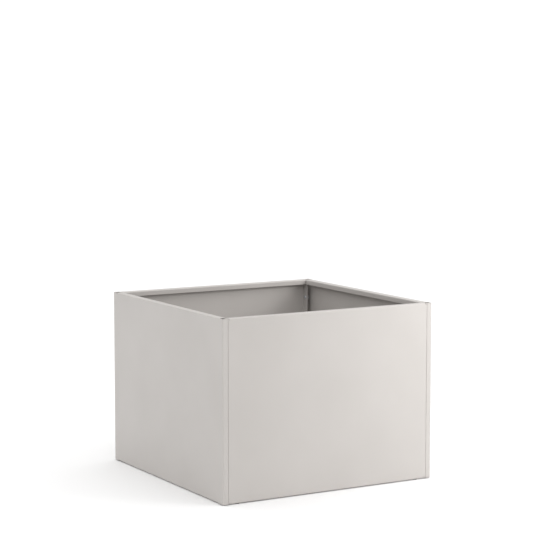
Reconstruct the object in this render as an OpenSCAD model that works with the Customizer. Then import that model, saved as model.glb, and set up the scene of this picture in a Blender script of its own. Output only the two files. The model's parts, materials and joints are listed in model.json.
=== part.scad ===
// Square floor planter, folded from sheet steel and bolted together at four seams.
//
// Two side panels wrap round the corners onto the front and the back. A front panel and a back
// panel fill the faces between them. Every panel has a folded rim with a lip at the top and a
// folded ledge at the bottom. A raised floor with plugged drains stands on the ledges.
//
// +X is the planter's right, +Y its back and +Z up. The origin is on the ground, under its middle.

/* [Planter] */
// Outside width, from the left face to the right face
plan_w = 610; // [450:5:900]
// Outside depth, from the front face to the back face
plan_d = 610; // [450:5:900]
// Height of the rim's top face above the ground
total_h = 457; // [300:1:700]

/* [Wall panels] */
// Thickness of the wall panels' sheet
sheet_t = 1.5; // [1:0.1:2]
// Outside radius of every bend in the wall panels
bend_r = 3; // [2.2:0.1:4]
// Width of the returns of the side panels that show on the front and the back
return_w = 15; // [14:0.5:22]
// Depth of the flanges that are bolted together inside a seam, from the outside face
seam_flange_d = 20; // [18:0.5:24]
// Width of the rim, from the outside face to the inside face of the lip
rim_w = 20; // [14:0.5:28]
// Height of the lip, from the top of the rim to its lower edge
lip_h = 13; // [8:0.5:25]
// Width of the ledge folded in along the bottom of each wall
ledge_w = 25; // [22:0.5:40]
// Gap between the ends of neighbouring rims, and of neighbouring ledges
end_gap = 0.5; // [0.3:0.1:2]
// Width of the relief cut past each end of a rim or ledge, and its depth below the bend
relief_w = 1; // [0.5:0.1:2]

/* [Floor pan] */
// Height of the floor's top face above the ground
floor_z = 34; // [28:1:60]
// Thickness of the floor pan's and the floor beams' sheet
floor_t = 1.5; // [1:0.1:2]
// Outside radius of the bends in the floor pan and the floor beams
floor_bend_r = 3; // [2.2:0.1:4]
// Gap between the floor pan and the bends and seams round it
floor_gap = 0.5; // [0.3:0.1:2]

/* [Floor beams] */
// Width of the beam's crown, which carries the floor
crown_w = 44; // [30:1:60]
// Width of each foot of the beam, from the outside of its web
beam_foot_w = 16; // [10:1:20]

/* [Drains] */
// Diameter of each drain hole
drain_d = 20; // [16:0.5:26]
// Distance of the four outer drains from the outside faces
drain_inset = 85; // [65:1:100]
// Depth of the dish pressed round each drain hole
dish_depth = 3; // [2:0.5:5]
// Width of the flat ring between the drain hole and the dish's slope
dish_ring_w = 6.5; // [6:0.5:9]
// Width of the dish's slope
dish_slope_w = 6; // [4:0.5:10]

/* [Drain plugs] */
// Clearance round the plug's stem in the drain hole
plug_clearance = 0.1; // [0.05:0.05:0.3]
// How far the plug's head reaches past the drain hole, all round
plug_head_lap = 5; // [3:0.5:5.5]
// Length of the plug's stem below its head
plug_stem_l = 12; // [8:0.5:15]
// Difference in diameter between the top and the bottom of the stem
plug_taper = 2.6; // [1:0.2:5]
// Number of sealing ribs round the stem
plug_ribs = 3; // [1:1:4]
// Height of each rib above the stem between the ribs
plug_rib_h = 0.6; // [0.3:0.1:1]
// Height of the pull tab above the plug's head
plug_tab_h = 10; // [6:0.5:16]
// Width of the pull tab
plug_tab_w = 16; // [10:0.5:20]
// Thickness of the pull tab
plug_tab_t = 4; // [3:0.5:6]
// Diameter of the hole in the pull tab
plug_tab_hole_d = 4; // [3:0.5:5]

/* [Feet] */
// Height of the rubber pad below the ledge
foot_h = 2; // [2:0.5:8]
// Diameter of the rubber pad
foot_d = 20; // [16:0.5:20]
// Diameter of the foot's neck, where it passes through the ledge
foot_neck_d = 8; // [6:0.5:10]
// Length of the barb that holds the foot above the ledge
foot_barb_l = 6; // [4:0.5:8]
// Distance of each foot's middle from the seam beside it
foot_inset = 28; // [18:1:50]

/* [Fasteners] */
// Thread diameter of the seam bolts
bolt_d = 6; // [5:0.5:6]
// Number of bolts in each seam
bolts_per_seam = 3; // [2:1:5]
// Distance of the lowest bolt above the floor and of the highest below the lip
bolt_margin = 38; // [20:1:60]
// Clearance round a bolt in its hole, on the radius
bolt_clearance = 0.3; // [0.1:0.05:0.5]
// Diameter of the rivets that hold the floor to its beams
rivet_d = 4; // [3:0.5:5]
// Number of rivets along each beam
rivets_per_beam = 5; // [2:1:9]
// Distance of the end rivets from the ends of their beam
rivet_margin = 40; // [20:1:80]

/* [Hidden] */
// The four corners: name, side along X and side along Y
CORNERS = [["front_left", -1, -1], ["front_right", 1, -1], ["back_left", -1, 1], ["back_right", 1, 1]];
SIDES = [["left", -1], ["right", 1]];
$fn = 64;

powder_coat = [0.83, 0.81, 0.79];
galvanised = [0.62, 0.64, 0.65];
zinc_plate = [0.72, 0.72, 0.70];
black_rubber = [0.12, 0.12, 0.12];

// Walls
wall_h = total_h - foot_h;
face_w = plan_w - 2 * return_w;
side_rim_l = plan_d - 2 * (rim_w + end_gap);
side_ledge_l = plan_d - 2 * (ledge_w + end_gap);
face_flat_l = face_w - 2 * bend_r;
face_fold_l = face_flat_l - 2 * relief_w;
seam_mid = (bend_r + seam_flange_d) / 2;
cut_lap = 1;

// Floor
ledge_top = foot_h + sheet_t;
pan_w = plan_w - 2 * (bend_r + floor_gap);
pan_d = plan_d - 2 * (bend_r + floor_gap);
pan_face_l = face_w - 2 * (sheet_t + floor_gap);
pan_side_l = plan_d - 2 * (seam_flange_d + floor_gap);
skirt_h = floor_z - ledge_top;
beam_h = skirt_h - floor_t;
beam_l = pan_d - 2 * (floor_bend_r + floor_gap);

// Drains and their plugs
drain_x = plan_w / 2 - drain_inset;
drain_y = plan_d / 2 - drain_inset;
beam_x = drain_x / 2;
dish_flat_r = drain_d / 2 + dish_ring_w;
dish_r = dish_flat_r + dish_slope_w;
plug_seat_z = floor_z - dish_depth;
plug_head_r = drain_d / 2 + plug_head_lap;
plug_stem_r = drain_d / 2 - plug_clearance;
plug_tip_r = plug_stem_r - plug_taper / 2;
plug_edge = 0.8;
plug_rib_pitch = (plug_stem_l - floor_t - plug_edge) / plug_ribs;
plug_rib_w = 0.6 * plug_rib_pitch;
tab_corner_r = 0.3 * min(plug_tab_h, plug_tab_w);

// Feet
foot_x = face_w / 2 - foot_inset;
foot_y = plan_d / 2 - (bend_r + ledge_w) / 2;
foot_edge = 1;
foot_clearance = 0.1;
foot_neck_r = foot_neck_d / 2;
foot_barb_r = foot_neck_r + 1.6;
foot_tip_r = foot_neck_r - 1;

// Fasteners, in proportion to their threads as in the standards
bolt_r = bolt_d / 2;
bolt_head_r = 1.75 * bolt_r;
bolt_head_h = 1.1 * bolt_r;
bolt_dome_r = (bolt_head_r ^ 2 + bolt_head_h ^ 2) / (2 * bolt_head_h);
bolt_socket_r = 0.77 * bolt_r;
bolt_socket_depth = 0.7 * bolt_r;
bolt_tip_l = 1;
nut_r = 1.92 * bolt_r;
nut_h = 1.67 * bolt_r;
nut_flange_r = 2.05 * bolt_r;
nut_flange_h = 0.4 * bolt_r;
thread_clearance = 0.05;
bolt_l = 2 * sheet_t + nut_flange_h + nut_h + bolt_tip_l;
bolt_low_z = floor_z + bolt_margin;
bolt_high_z = total_h - lip_h - bolt_margin;
rivet_r = rivet_d / 2;
rivet_clearance = 0.1;
rivet_grip = 2 * floor_t;
rivet_head_r = 2 * rivet_r;
rivet_head_h = 0.8 * rivet_r;
rivet_dome_r = (rivet_head_r ^ 2 + rivet_head_h ^ 2) / (2 * rivet_head_h);
rivet_bulb_r = 1.6 * rivet_r;
rivet_bulb_h = 1.4 * rivet_r;

// The i-th of n heights or places spread evenly from low to high
function spread(low, high, n, i) = low + (high - low) * i / (n - 1);

// Sheet folded by right angles, seen end on. The straights are its flat stretches, and each turn
// between two of them is 1 for a left turn and -1 for a right turn. The first stretch starts at the
// origin and runs along +X with the sheet, which is t thick, on its left. Bends are r outside.
module folded_strip(straights, turns, t, r, i = 0) {
    if (straights[i] > 0) square([straights[i], t]);
    if (i < len(turns))
        translate([straights[i], 0])
            if (turns[i] > 0) {
                translate([0, r]) quarter_bend(t, r);
                translate([r, r]) rotate(90) folded_strip(straights, turns, t, r, i + 1);
            } else {
                translate([0, t - r]) mirror([0, 1]) quarter_bend(t, r);
                translate([r - t, t - r]) rotate(-90) folded_strip(straights, turns, t, r, i + 1);
            }
}

// One bend, seen end on: the quarter of a ring that lies right of its middle and below it
module quarter_bend(t, r) {
    intersection() {
        difference() {
            circle(r);
            circle(r - t);
        }
        translate([0, -r]) square(r);
    }
}

// A section drawn in X and Y, stood up so that it runs along X with its middle at the origin
module run_along_x(length) {
    rotate([90, 0, 90]) linear_extrude(length, center = true) children();
}

// The next six modules stand a wall on the XZ plane. Its outside face is y = 0, it is thick
// towards +Y, and the middle of its lower edge is at the origin.

// Rim and lip, folded in from the top of the wall
module rim_fold(length) {
    translate([0, 0, wall_h])
        run_along_x(length)
            translate([rim_w, -lip_h])
                rotate(90)
                    folded_strip([lip_h - bend_r, rim_w - 2 * bend_r, 0], [1, 1], sheet_t, bend_r);
}

// Ledge, folded in from the bottom of the wall
module ledge_fold(length) {
    run_along_x(length)
        translate([0, bend_r])
            rotate(-90)
                folded_strip([0, ledge_w - bend_r], [1], sheet_t, bend_r);
}

// Wall from its plan, which is given as children, cut at both edges to take its rim and its ledge
module folded_wall(rim_l, ledge_l) {
    difference() {
        linear_extrude(wall_h) children();
        translate([0, 0, wall_h]) mirror([0, 0, 1]) edge_cut(rim_l);
        edge_cut(ledge_l);
    }
    rim_fold(rim_l);
    ledge_fold(ledge_l);
}

// Cut into a wall's lower edge: as high as a bend along the fold, and deeper in a relief past each end
module edge_cut(fold_l) {
    cut_t = sheet_t + 2 * cut_lap;
    translate([-fold_l / 2, -cut_lap, -cut_lap]) cube([fold_l, cut_t, bend_r + cut_lap]);
    for (x = [-fold_l / 2 - relief_w, fold_l / 2])
        translate([x, -cut_lap, -cut_lap]) cube([relief_w, cut_t, bend_r + relief_w + cut_lap]);
}

// Side wall: its plan turns both corners, shows a return and ends in a flange inside the seam
module side_wall() {
    flange_l = seam_flange_d - bend_r;
    return_l = return_w - 2 * bend_r;
    side_l = plan_d - 2 * bend_r;
    folded_wall(side_rim_l, side_ledge_l)
        translate([seam_flange_d - plan_d / 2, return_w])
            rotate(180)
                folded_strip([flange_l, return_l, side_l, return_l, flange_l], [1, 1, 1, 1], sheet_t, bend_r);
}

// Front or back wall: a flat face with a flange inside each seam
module face_wall() {
    flange_l = seam_flange_d - bend_r;
    folded_wall(face_fold_l, face_fold_l)
        translate([-face_w / 2, seam_flange_d])
            rotate(-90)
                folded_strip([flange_l, face_flat_l, flange_l], [1, 1], sheet_t, bend_r);
}

// Bolt holes through the flanges of all four seams
module seam_holes() {
    for (c = CORNERS)
        for (i = [0 : bolts_per_seam - 1])
            at_seam_bolt(c, i)
                cylinder(h = 2 * (sheet_t + cut_lap), r = bolt_r + bolt_clearance, center = true);
}

// Puts children at a seam's bolt, on the seam's middle plane, with +Z pointing out to the side
module at_seam_bolt(c, i) {
    bolt_z = spread(bolt_low_z, bolt_high_z, bolts_per_seam, i);
    translate([c[1] * face_w / 2, c[2] * (plan_d / 2 - seam_mid), bolt_z])
        rotate([0, c[1] * 90, 0])
            children();
}

module side_panel(side) {
    color(powder_coat)
        difference() {
            translate([side * plan_w / 2, 0, foot_h]) rotate(side * 90) side_wall();
            seam_holes();
        }
}

module face_panel(side) {
    color(powder_coat)
        difference() {
            translate([0, side * plan_d / 2, foot_h]) rotate(side < 0 ? 0 : 180) face_wall();
            seam_holes();
            for (x = [-foot_x, foot_x])
                translate([x, side * foot_y, 0])
                    cylinder(h = ledge_top + cut_lap, r = foot_neck_r + foot_clearance);
        }
}

// Skirt turned down from one edge of the floor pan, which stands on a ledge
module skirt_fold(length) {
    translate([0, 0, floor_z])
        run_along_x(length)
            translate([floor_bend_r, 0])
                rotate(180)
                    folded_strip([0, skirt_h - floor_bend_r], [1], floor_t, floor_bend_r);
}

// Places of the five drains
module at_drains() {
    for (c = CORNERS) translate([c[1] * drain_x, c[2] * drain_y, 0]) children();
    children();
}

// Dish pressed down round a drain hole
module drain_dish() {
    rise = [[drain_d / 2, -dish_depth], [dish_flat_r, -dish_depth], [dish_r, 0]];
    under = [for (i = [2 : -1 : 0]) rise[i] - [0, floor_t]];
    translate([0, 0, floor_z]) rotate_extrude() polygon(concat(rise, under));
}

// Floor: a sheet with skirts on all four sides, cut away at the corners to pass the seams
module floor_pan() {
    color(galvanised)
        difference() {
            union() {
                difference() {
                    translate([0, 0, floor_z - floor_t])
                        linear_extrude(floor_t) {
                            square([pan_face_l, pan_d - 2 * floor_bend_r], center = true);
                            square([pan_w - 2 * floor_bend_r, pan_side_l], center = true);
                        }
                    at_drains() cylinder(h = floor_z + cut_lap, r = dish_r);
                }
                at_drains() drain_dish();
                for (side = [0, 180]) {
                    rotate(side) translate([0, -pan_d / 2, 0]) skirt_fold(pan_face_l);
                    rotate(side + 90) translate([0, -pan_w / 2, 0]) skirt_fold(pan_side_l);
                }
            }
            for (s = SIDES) rivet_holes(s[1]);
        }
}

// Beam of hat section under the floor, which stands on the front and the back ledge
module floor_beam(side) {
    foot_l = beam_foot_w + floor_t - floor_bend_r;
    web_l = beam_h - 2 * floor_bend_r;
    crown_l = crown_w - 2 * floor_bend_r;
    hat = [foot_l, web_l, crown_l, web_l, foot_l];
    color(galvanised)
        difference() {
            translate([side * beam_x, 0, ledge_top])
                rotate(90)
                    run_along_x(beam_l)
                        translate([-crown_w / 2 - beam_foot_w, 0])
                            folded_strip(hat, [1, -1, -1, 1], floor_t, floor_bend_r);
            rivet_holes(side);
        }
}

// Puts children at the rivets of one beam, on the floor's top face
module at_rivets(side) {
    end_y = beam_l / 2 - rivet_margin;
    for (i = [0 : rivets_per_beam - 1])
        translate([side * beam_x, spread(-end_y, end_y, rivets_per_beam, i), floor_z])
            children();
}

module rivet_holes(side) {
    at_rivets(side) cylinder(h = 2 * (rivet_grip + cut_lap), r = rivet_r + rivet_clearance, center = true);
}

// Blind rivets: a domed head on the floor, and a bulb drawn up under the beam's crown
module floor_rivets(side) {
    color(zinc_plate)
        at_rivets(side) {
            dome(rivet_head_r, rivet_head_h, rivet_dome_r);
            translate([0, 0, -rivet_grip]) cylinder(h = rivet_grip, r = rivet_r);
            translate([0, 0, -rivet_grip - rivet_bulb_h])
                cylinder(h = rivet_bulb_h, r1 = rivet_r, r2 = rivet_bulb_r);
        }
}

// Low domed head with a flat underside on z = 0
module dome(head_r, head_h, dome_r) {
    intersection() {
        translate([0, 0, head_h - dome_r]) sphere(dome_r);
        cylinder(h = head_h, r = head_r);
    }
}

// Button-head bolts: their heads are inside the planter, on the front or back panel's flanges
module seam_bolts(c) {
    color(zinc_plate)
        for (i = [0 : bolts_per_seam - 1])
            at_seam_bolt(c, i)
                translate([0, 0, -sheet_t]) {
                    difference() {
                        mirror([0, 0, 1]) dome(bolt_head_r, bolt_head_h, bolt_dome_r);
                        translate([0, 0, -bolt_head_h - cut_lap])
                            cylinder(h = bolt_socket_depth + cut_lap, r = bolt_socket_r, $fn = 6);
                    }
                    cylinder(h = bolt_l, r = bolt_r);
                }
}

// Flange nuts, in the pocket between the seam and the side panel's corner
module seam_nuts(c) {
    color(zinc_plate)
        for (i = [0 : bolts_per_seam - 1])
            at_seam_bolt(c, i)
                translate([0, 0, sheet_t])
                    difference() {
                        union() {
                            cylinder(h = nut_flange_h, r = nut_flange_r);
                            cylinder(h = nut_flange_h + nut_h, r = nut_r, $fn = 6);
                        }
                        cylinder(h = 2 * (bolt_l + cut_lap), r = bolt_r + thread_clearance, center = true);
                    }
}

// Rubber foot pushed up through a ledge: pad, neck and barb turned in one piece
module foot(c) {
    color(black_rubber)
        translate([c[1] * foot_x, c[2] * foot_y, 0])
            rotate_extrude()
                polygon([
                    [0, 0], [foot_d / 2 - foot_edge, 0], [foot_d / 2, foot_edge], [foot_d / 2, foot_h],
                    [foot_neck_r, foot_h], [foot_neck_r, ledge_top], [foot_barb_r, ledge_top],
                    [foot_tip_r, ledge_top + foot_barb_l], [0, ledge_top + foot_barb_l]
                ]);
}

// Radius of the plug's taper at a height, which is 0 at the head and negative below it
function plug_taper_r(z) = plug_stem_r + z * (plug_stem_r - plug_tip_r) / plug_stem_l;

// Rubber bung with a ribbed stem, a head that fills the dish and a tab to pull it by. The ribs and
// the neck, which is as long as the floor is thick, reach out to the stem's taper.
module drain_plug(x, y) {
    tip = [
        [0, -plug_stem_l], [plug_tip_r - plug_rib_h - plug_edge, -plug_stem_l],
        [plug_tip_r - plug_rib_h, plug_edge - plug_stem_l]
    ];
    ribs = [
        for (i = [plug_ribs - 1 : -1 : 0])
            for (step = [[-0.5, plug_rib_h], [-0.25, 0], [0.25, 0], [0.5, plug_rib_h]])
                let (z = step[0] * plug_rib_w - (i + 0.5) * plug_rib_pitch - floor_t)
                    [plug_taper_r(z) - step[1], z]
    ];
    neck = [
        [plug_taper_r(-floor_t) - plug_rib_h, -plug_rib_w / 4 - floor_t],
        [plug_taper_r(-floor_t), -floor_t], [plug_stem_r, 0]
    ];
    head = [
        [plug_head_r, 0], [plug_head_r, dish_depth - plug_edge],
        [plug_head_r - plug_edge, dish_depth], [0, dish_depth]
    ];
    color(black_rubber)
        translate([x, y, plug_seat_z]) {
            rotate_extrude() polygon(concat(tip, ribs, neck, head));
            translate([0, 0, dish_depth]) pull_tab();
        }
}

// Tab with two round upper corners and a hole for a hook
module pull_tab() {
    rotate([90, 0, 0])
        linear_extrude(plug_tab_t, center = true)
            difference() {
                tab_outline();
                translate([0, plug_tab_h / 2]) circle(d = plug_tab_hole_d);
            }
}

module tab_outline() {
    translate([-plug_tab_w / 2, 0]) square([plug_tab_w, plug_tab_h - tab_corner_r]);
    translate([tab_corner_r - plug_tab_w / 2, 0]) square([plug_tab_w - 2 * tab_corner_r, plug_tab_h]);
    for (side = [-1, 1])
        translate([side * (plug_tab_w / 2 - tab_corner_r), plug_tab_h - tab_corner_r])
            circle(tab_corner_r);
}

side_panel(-1);  // left_side_panel
side_panel(1);  // right_side_panel
face_panel(-1);  // front_panel
face_panel(1);  // back_panel
floor_pan();
for (s = SIDES) {
    floor_beam(s[1]);
    floor_rivets(s[1]);
}
for (c = CORNERS) {
    seam_bolts(c);
    seam_nuts(c);
    foot(c);
    drain_plug(c[1] * drain_x, c[2] * drain_y);
}
drain_plug(0, 0);  // drain_plug_middle
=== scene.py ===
"""Finished look of the square floor planter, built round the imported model.

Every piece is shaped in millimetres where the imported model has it, scaled to metres and put in the
place of one node: folded walls, floor tray, floor beams, rivets, seam bolts and nuts, rubber feet
and drain bungs. Each finish is a procedural material.
"""

import json
import logging
import math
from dataclasses import dataclass, field
from enum import Enum
from typing import Any, Callable, ClassVar, Iterable, Sequence

import bmesh
import bpy
from mathutils import Matrix, Vector, noise


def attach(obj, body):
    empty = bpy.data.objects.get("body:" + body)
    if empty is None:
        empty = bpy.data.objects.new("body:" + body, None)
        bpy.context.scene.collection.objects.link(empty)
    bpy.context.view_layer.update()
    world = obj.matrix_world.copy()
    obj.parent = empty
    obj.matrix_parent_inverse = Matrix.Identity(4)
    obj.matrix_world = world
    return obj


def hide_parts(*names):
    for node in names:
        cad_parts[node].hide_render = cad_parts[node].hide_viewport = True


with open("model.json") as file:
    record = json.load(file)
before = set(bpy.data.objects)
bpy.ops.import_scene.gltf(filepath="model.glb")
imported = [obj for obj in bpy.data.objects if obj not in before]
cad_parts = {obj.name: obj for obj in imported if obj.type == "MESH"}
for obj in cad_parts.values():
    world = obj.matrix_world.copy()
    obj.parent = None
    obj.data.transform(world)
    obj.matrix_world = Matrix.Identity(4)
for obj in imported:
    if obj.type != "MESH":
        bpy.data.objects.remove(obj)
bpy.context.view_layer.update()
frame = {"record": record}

Row = tuple[float, float]
Place = tuple[float, float, float]
Colour = tuple[float, float, float, float]

MM = 0.001  # a millimetre in metres
WELD_DIST = 0.002  # millimetres within which vertices are one
QUARTER = math.pi / 2
BOTH_WAYS = (-1, 1)
SHARE: Row = (0.0, 1.0)
NOISE_BAND: Row = (0.3, 0.7)  # range of most values of a noise texture

log = logging.getLogger("planter")


class Slot(Enum):
    """The record's material slots."""

    POWDER_COAT = "powder_coat"
    GALVANISED_SHEET = "galvanised_sheet"
    ZINC_PLATE = "zinc_plate"
    BLACK_RUBBER = "black_rubber"


class Turn(Enum):
    """Way in which a folded sheet's section turns at a bend."""

    LEFT = 1
    RIGHT = -1


class Side(Enum):
    """The planter's left and right, as ways along X."""

    LEFT = -1
    RIGHT = 1


class Face(Enum):
    """The planter's front and back, as ways along Y."""

    FRONT = -1
    BACK = 1


class Fold(Enum):
    """The folds along a wall's upper and its lower edge."""

    RIM = "rim"
    LEDGE = "ledge"


class Corner(Enum):
    """The planter's corners, as the side along X and the side along Y."""

    FRONT_LEFT = (-1, -1)
    FRONT_RIGHT = (1, -1)
    BACK_LEFT = (-1, 1)
    BACK_RIGHT = (1, 1)

    @property
    def label(self) -> str:
        """The corner's name as the nodes have it."""
        return self.name.lower()


@dataclass(frozen=True)
class PlanterSizes:
    """Sizes that several pieces share, in millimetres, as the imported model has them.

    Attributes:
        plan: Outside width, both ways.
        total_h: Height of the whole.
        foot_h: Height of the walls' lower edges above the ground.
        sheet_t: Thickness of the sheet.
        bend_r: Outside radius of the bends.
        return_w: Width of the side walls' returns on the front and the back.
        seam_flange_d: Depth of the flanges inside the seams.
        floor_z: Height of the floor's top face.
        floor_t: Thickness of the floor.
        drain_inset: Distance of the outer drains from the outside faces.
        dish_depth: Depth of the dishes round the drains.
        bolt_margin: Distance of a seam's end bolts from the floor and from the lip.
        bolts_per_seam: Number of bolts in a seam.
        rim_w: Width of the rim.
        lip_h: Height of the lip.
        end_gap: Gap at a corner between the rims, and the ledges, of two walls.
        foot_inset: Distance of the feet from the seams.
        ledge_w: Width of the ledges.
        rivet_margin: Distance of a beam's end rivets from its ends.
        rivets_per_beam: Number of rivets in a beam.
        rivet_cell: Half the width of the block of cells round a rivet's hole.
        rivet_hole: Ring of a rivet's hole: radius and depth.
        rivet_hole_steps: Number of steps round it.
        beam_l: Length of the floor beams.
    """

    plan: float = 610.0
    total_h: float = 457.0
    foot_h: float = 2.0
    sheet_t: float = 1.5
    bend_r: float = 3.0
    return_w: float = 15.0
    seam_flange_d: float = 20.0
    floor_z: float = 34.0
    floor_t: float = 1.5
    drain_inset: float = 85.0
    dish_depth: float = 3.0
    bolt_margin: float = 38.0
    bolts_per_seam: int = 3
    rim_w: float = 20.0
    lip_h: float = 13.0
    end_gap: float = 0.5
    foot_inset: float = 28.0
    ledge_w: float = 25.0
    rivet_margin: float = 40.0
    rivets_per_beam: int = 5
    rivet_cell: float = 8.0
    rivet_hole: tuple[Row, ...] = ((2.1, 0.0),)
    rivet_hole_steps: int = 16
    beam_l: float = 596.0

    @property
    def half(self) -> float:
        """Distance of the outside faces from the middle."""
        return self.plan / 2

    @property
    def wall_h(self) -> float:
        """Height of the walls, which stand on the feet."""
        return self.total_h - self.foot_h

    @property
    def seam_x(self) -> float:
        """Distance of the seams' middle planes from the middle."""
        return self.half - self.return_w

    @property
    def seam_bolt_d(self) -> float:
        """Depth of the seam bolts behind the outside face."""
        return (self.bend_r + self.seam_flange_d) / 2

    @property
    def bolt_heights(self) -> list[float]:
        """Heights of one seam's bolts above the ground."""
        low, high = self.floor_z + self.bolt_margin, self.total_h - self.lip_h - self.bolt_margin
        return spread(low, high, self.bolts_per_seam)

    @property
    def rivet_ys(self) -> list[float]:
        """Places of one beam's rivets from front to back."""
        end = self.beam_l / 2 - self.rivet_margin
        return spread(-end, end, self.rivets_per_beam)

    @property
    def drain_x(self) -> float:
        """Distance of the outer drains from the middle, along X and along Y."""
        return self.half - self.drain_inset

    def drain_places(self) -> dict[str, Row]:
        """Places of the five drains, by the names that their plugs have."""
        corners = {c.label: (c.value[0] * self.drain_x, c.value[1] * self.drain_x) for c in Corner}
        return {**corners, "middle": (0.0, 0.0)}

    @property
    def beam_x(self) -> float:
        """Distance of the floor beams from the middle."""
        return self.drain_x / 2

    @property
    def ledge_top(self) -> float:
        """Height of the ledges' top faces above the ground."""
        return self.foot_h + self.sheet_t

    @property
    def foot_x(self) -> float:
        """Distance of the feet from the middle along X."""
        return self.seam_x - self.foot_inset

    @property
    def foot_d(self) -> float:
        """Depth of the feet's middles behind the outside face."""
        return (self.bend_r + self.ledge_w) / 2


def spread(low: float, high: float, count: int) -> list[float]:
    """Places spread evenly over a stretch, both ends among them, in order."""
    return [low + (high - low) * i / (count - 1) for i in range(count)]


def merged(*lists: Iterable[float]) -> list[float]:
    """Sorts several lists of places into one and drops those that coincide.

    Args:
        *lists: Places in any order.

    Returns:
        The places in rising order, each at least the weld distance past the one before.
    """
    kept: list[float] = []
    for value in sorted(v for values in lists for v in values):
        if not kept or value - kept[-1] > WELD_DIST:
            kept.append(value)
    return kept


def smooth_step(value: float) -> float:
    """Smooth rise from 0 to 1 as the value goes from 0 to 1."""
    t = min(1.0, max(0.0, value))
    return t * t * (3 - 2 * t)


@dataclass(frozen=True)
class Station:
    """A place on a folded sheet's section.

    Attributes:
        point: The point.
        inward: Unit vector from it into the sheet.
    """

    point: Vector
    inward: Vector


@dataclass(frozen=True)
class Section:
    """Section of a folded sheet, with a right-angled bend between each two flats.

    The line runs along the sheet's drawn face, and the sheet lies on the line's left.

    Attributes:
        flats: Lengths of the flat stretches.
        turns: Way of the turn after each flat but the last.
        radii: Outside radius of each turn's bend.
        start: First point of the line.
        heading: First direction of the line, in degrees from +X.
        thickness: Thickness of the sheet.
        bend_steps: Number of steps in which a bend is drawn.
    """

    flats: tuple[float, ...]
    turns: tuple[Turn, ...]
    radii: tuple[float, ...]
    start: Row
    heading: float
    thickness: float = 1.5
    bend_steps: int = 6

    def line_radius(self, index: int) -> float:
        """Radius of the drawn line in a bend, counted from 0."""
        inner = 0.0 if self.turns[index] is Turn.LEFT else self.thickness
        return self.radii[index] - inner

    def flat_start(self, index: int) -> float:
        """Length along the line at which a flat starts; the first flat is 0."""
        bends = sum(self.line_radius(i) * QUARTER for i in range(index))
        return sum(self.flats[:index]) + bends

    def breaks(self) -> list[float]:
        """Finds where flats end and where bends take their steps.

        Returns:
            The lengths along the line, in rising order.
        """
        found = []
        for i, flat in enumerate(self.flats):
            begin = self.flat_start(i)
            found += [begin, begin + flat]
            if i < len(self.turns):
                bend = self.line_radius(i) * QUARTER
                found += [begin + flat + bend * k / self.bend_steps for k in range(self.bend_steps)]
        return merged(found)

    def at(self, length: float) -> Station:
        """Finds the place at a length along the line.

        Args:
            length: Length along the line from its start.

        Returns:
            The station there.
        """
        point, angle = Vector(self.start), math.radians(self.heading)
        left = length
        for i, flat in enumerate(self.flats):
            along = Vector((math.cos(angle), math.sin(angle)))
            inward = Vector((-along.y, along.x))
            if left <= flat + WELD_DIST / 4 or i == len(self.turns):
                return Station(point + along * left, inward)
            point += along * flat
            left -= flat
            way, radius = self.turns[i].value, self.line_radius(i)
            centre = point + inward * way * radius
            swept = min(left / radius, QUARTER)
            turned = angle + way * swept
            inward = Vector((-math.sin(turned), math.cos(turned)))
            point = centre - inward * way * radius
            if swept < QUARTER:
                return Station(point, inward)
            left -= radius * QUARTER
            angle += way * QUARTER
        raise ValueError("the length is past the end of the section")


@dataclass(frozen=True)
class Punch:
    """Round hole in a sheet, with the rings pressed round it.

    Attributes:
        low: Column and row at which the block of cells round the hole begins.
        high: Column and row at which that block ends.
        rings: Radius of each ring and its depth behind the face, from outside to the hole's edge.
        steps: Number of steps round the hole, a multiple of 4.
    """

    low: Row
    high: Row
    rings: tuple[Row, ...]
    steps: int = 24


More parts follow.
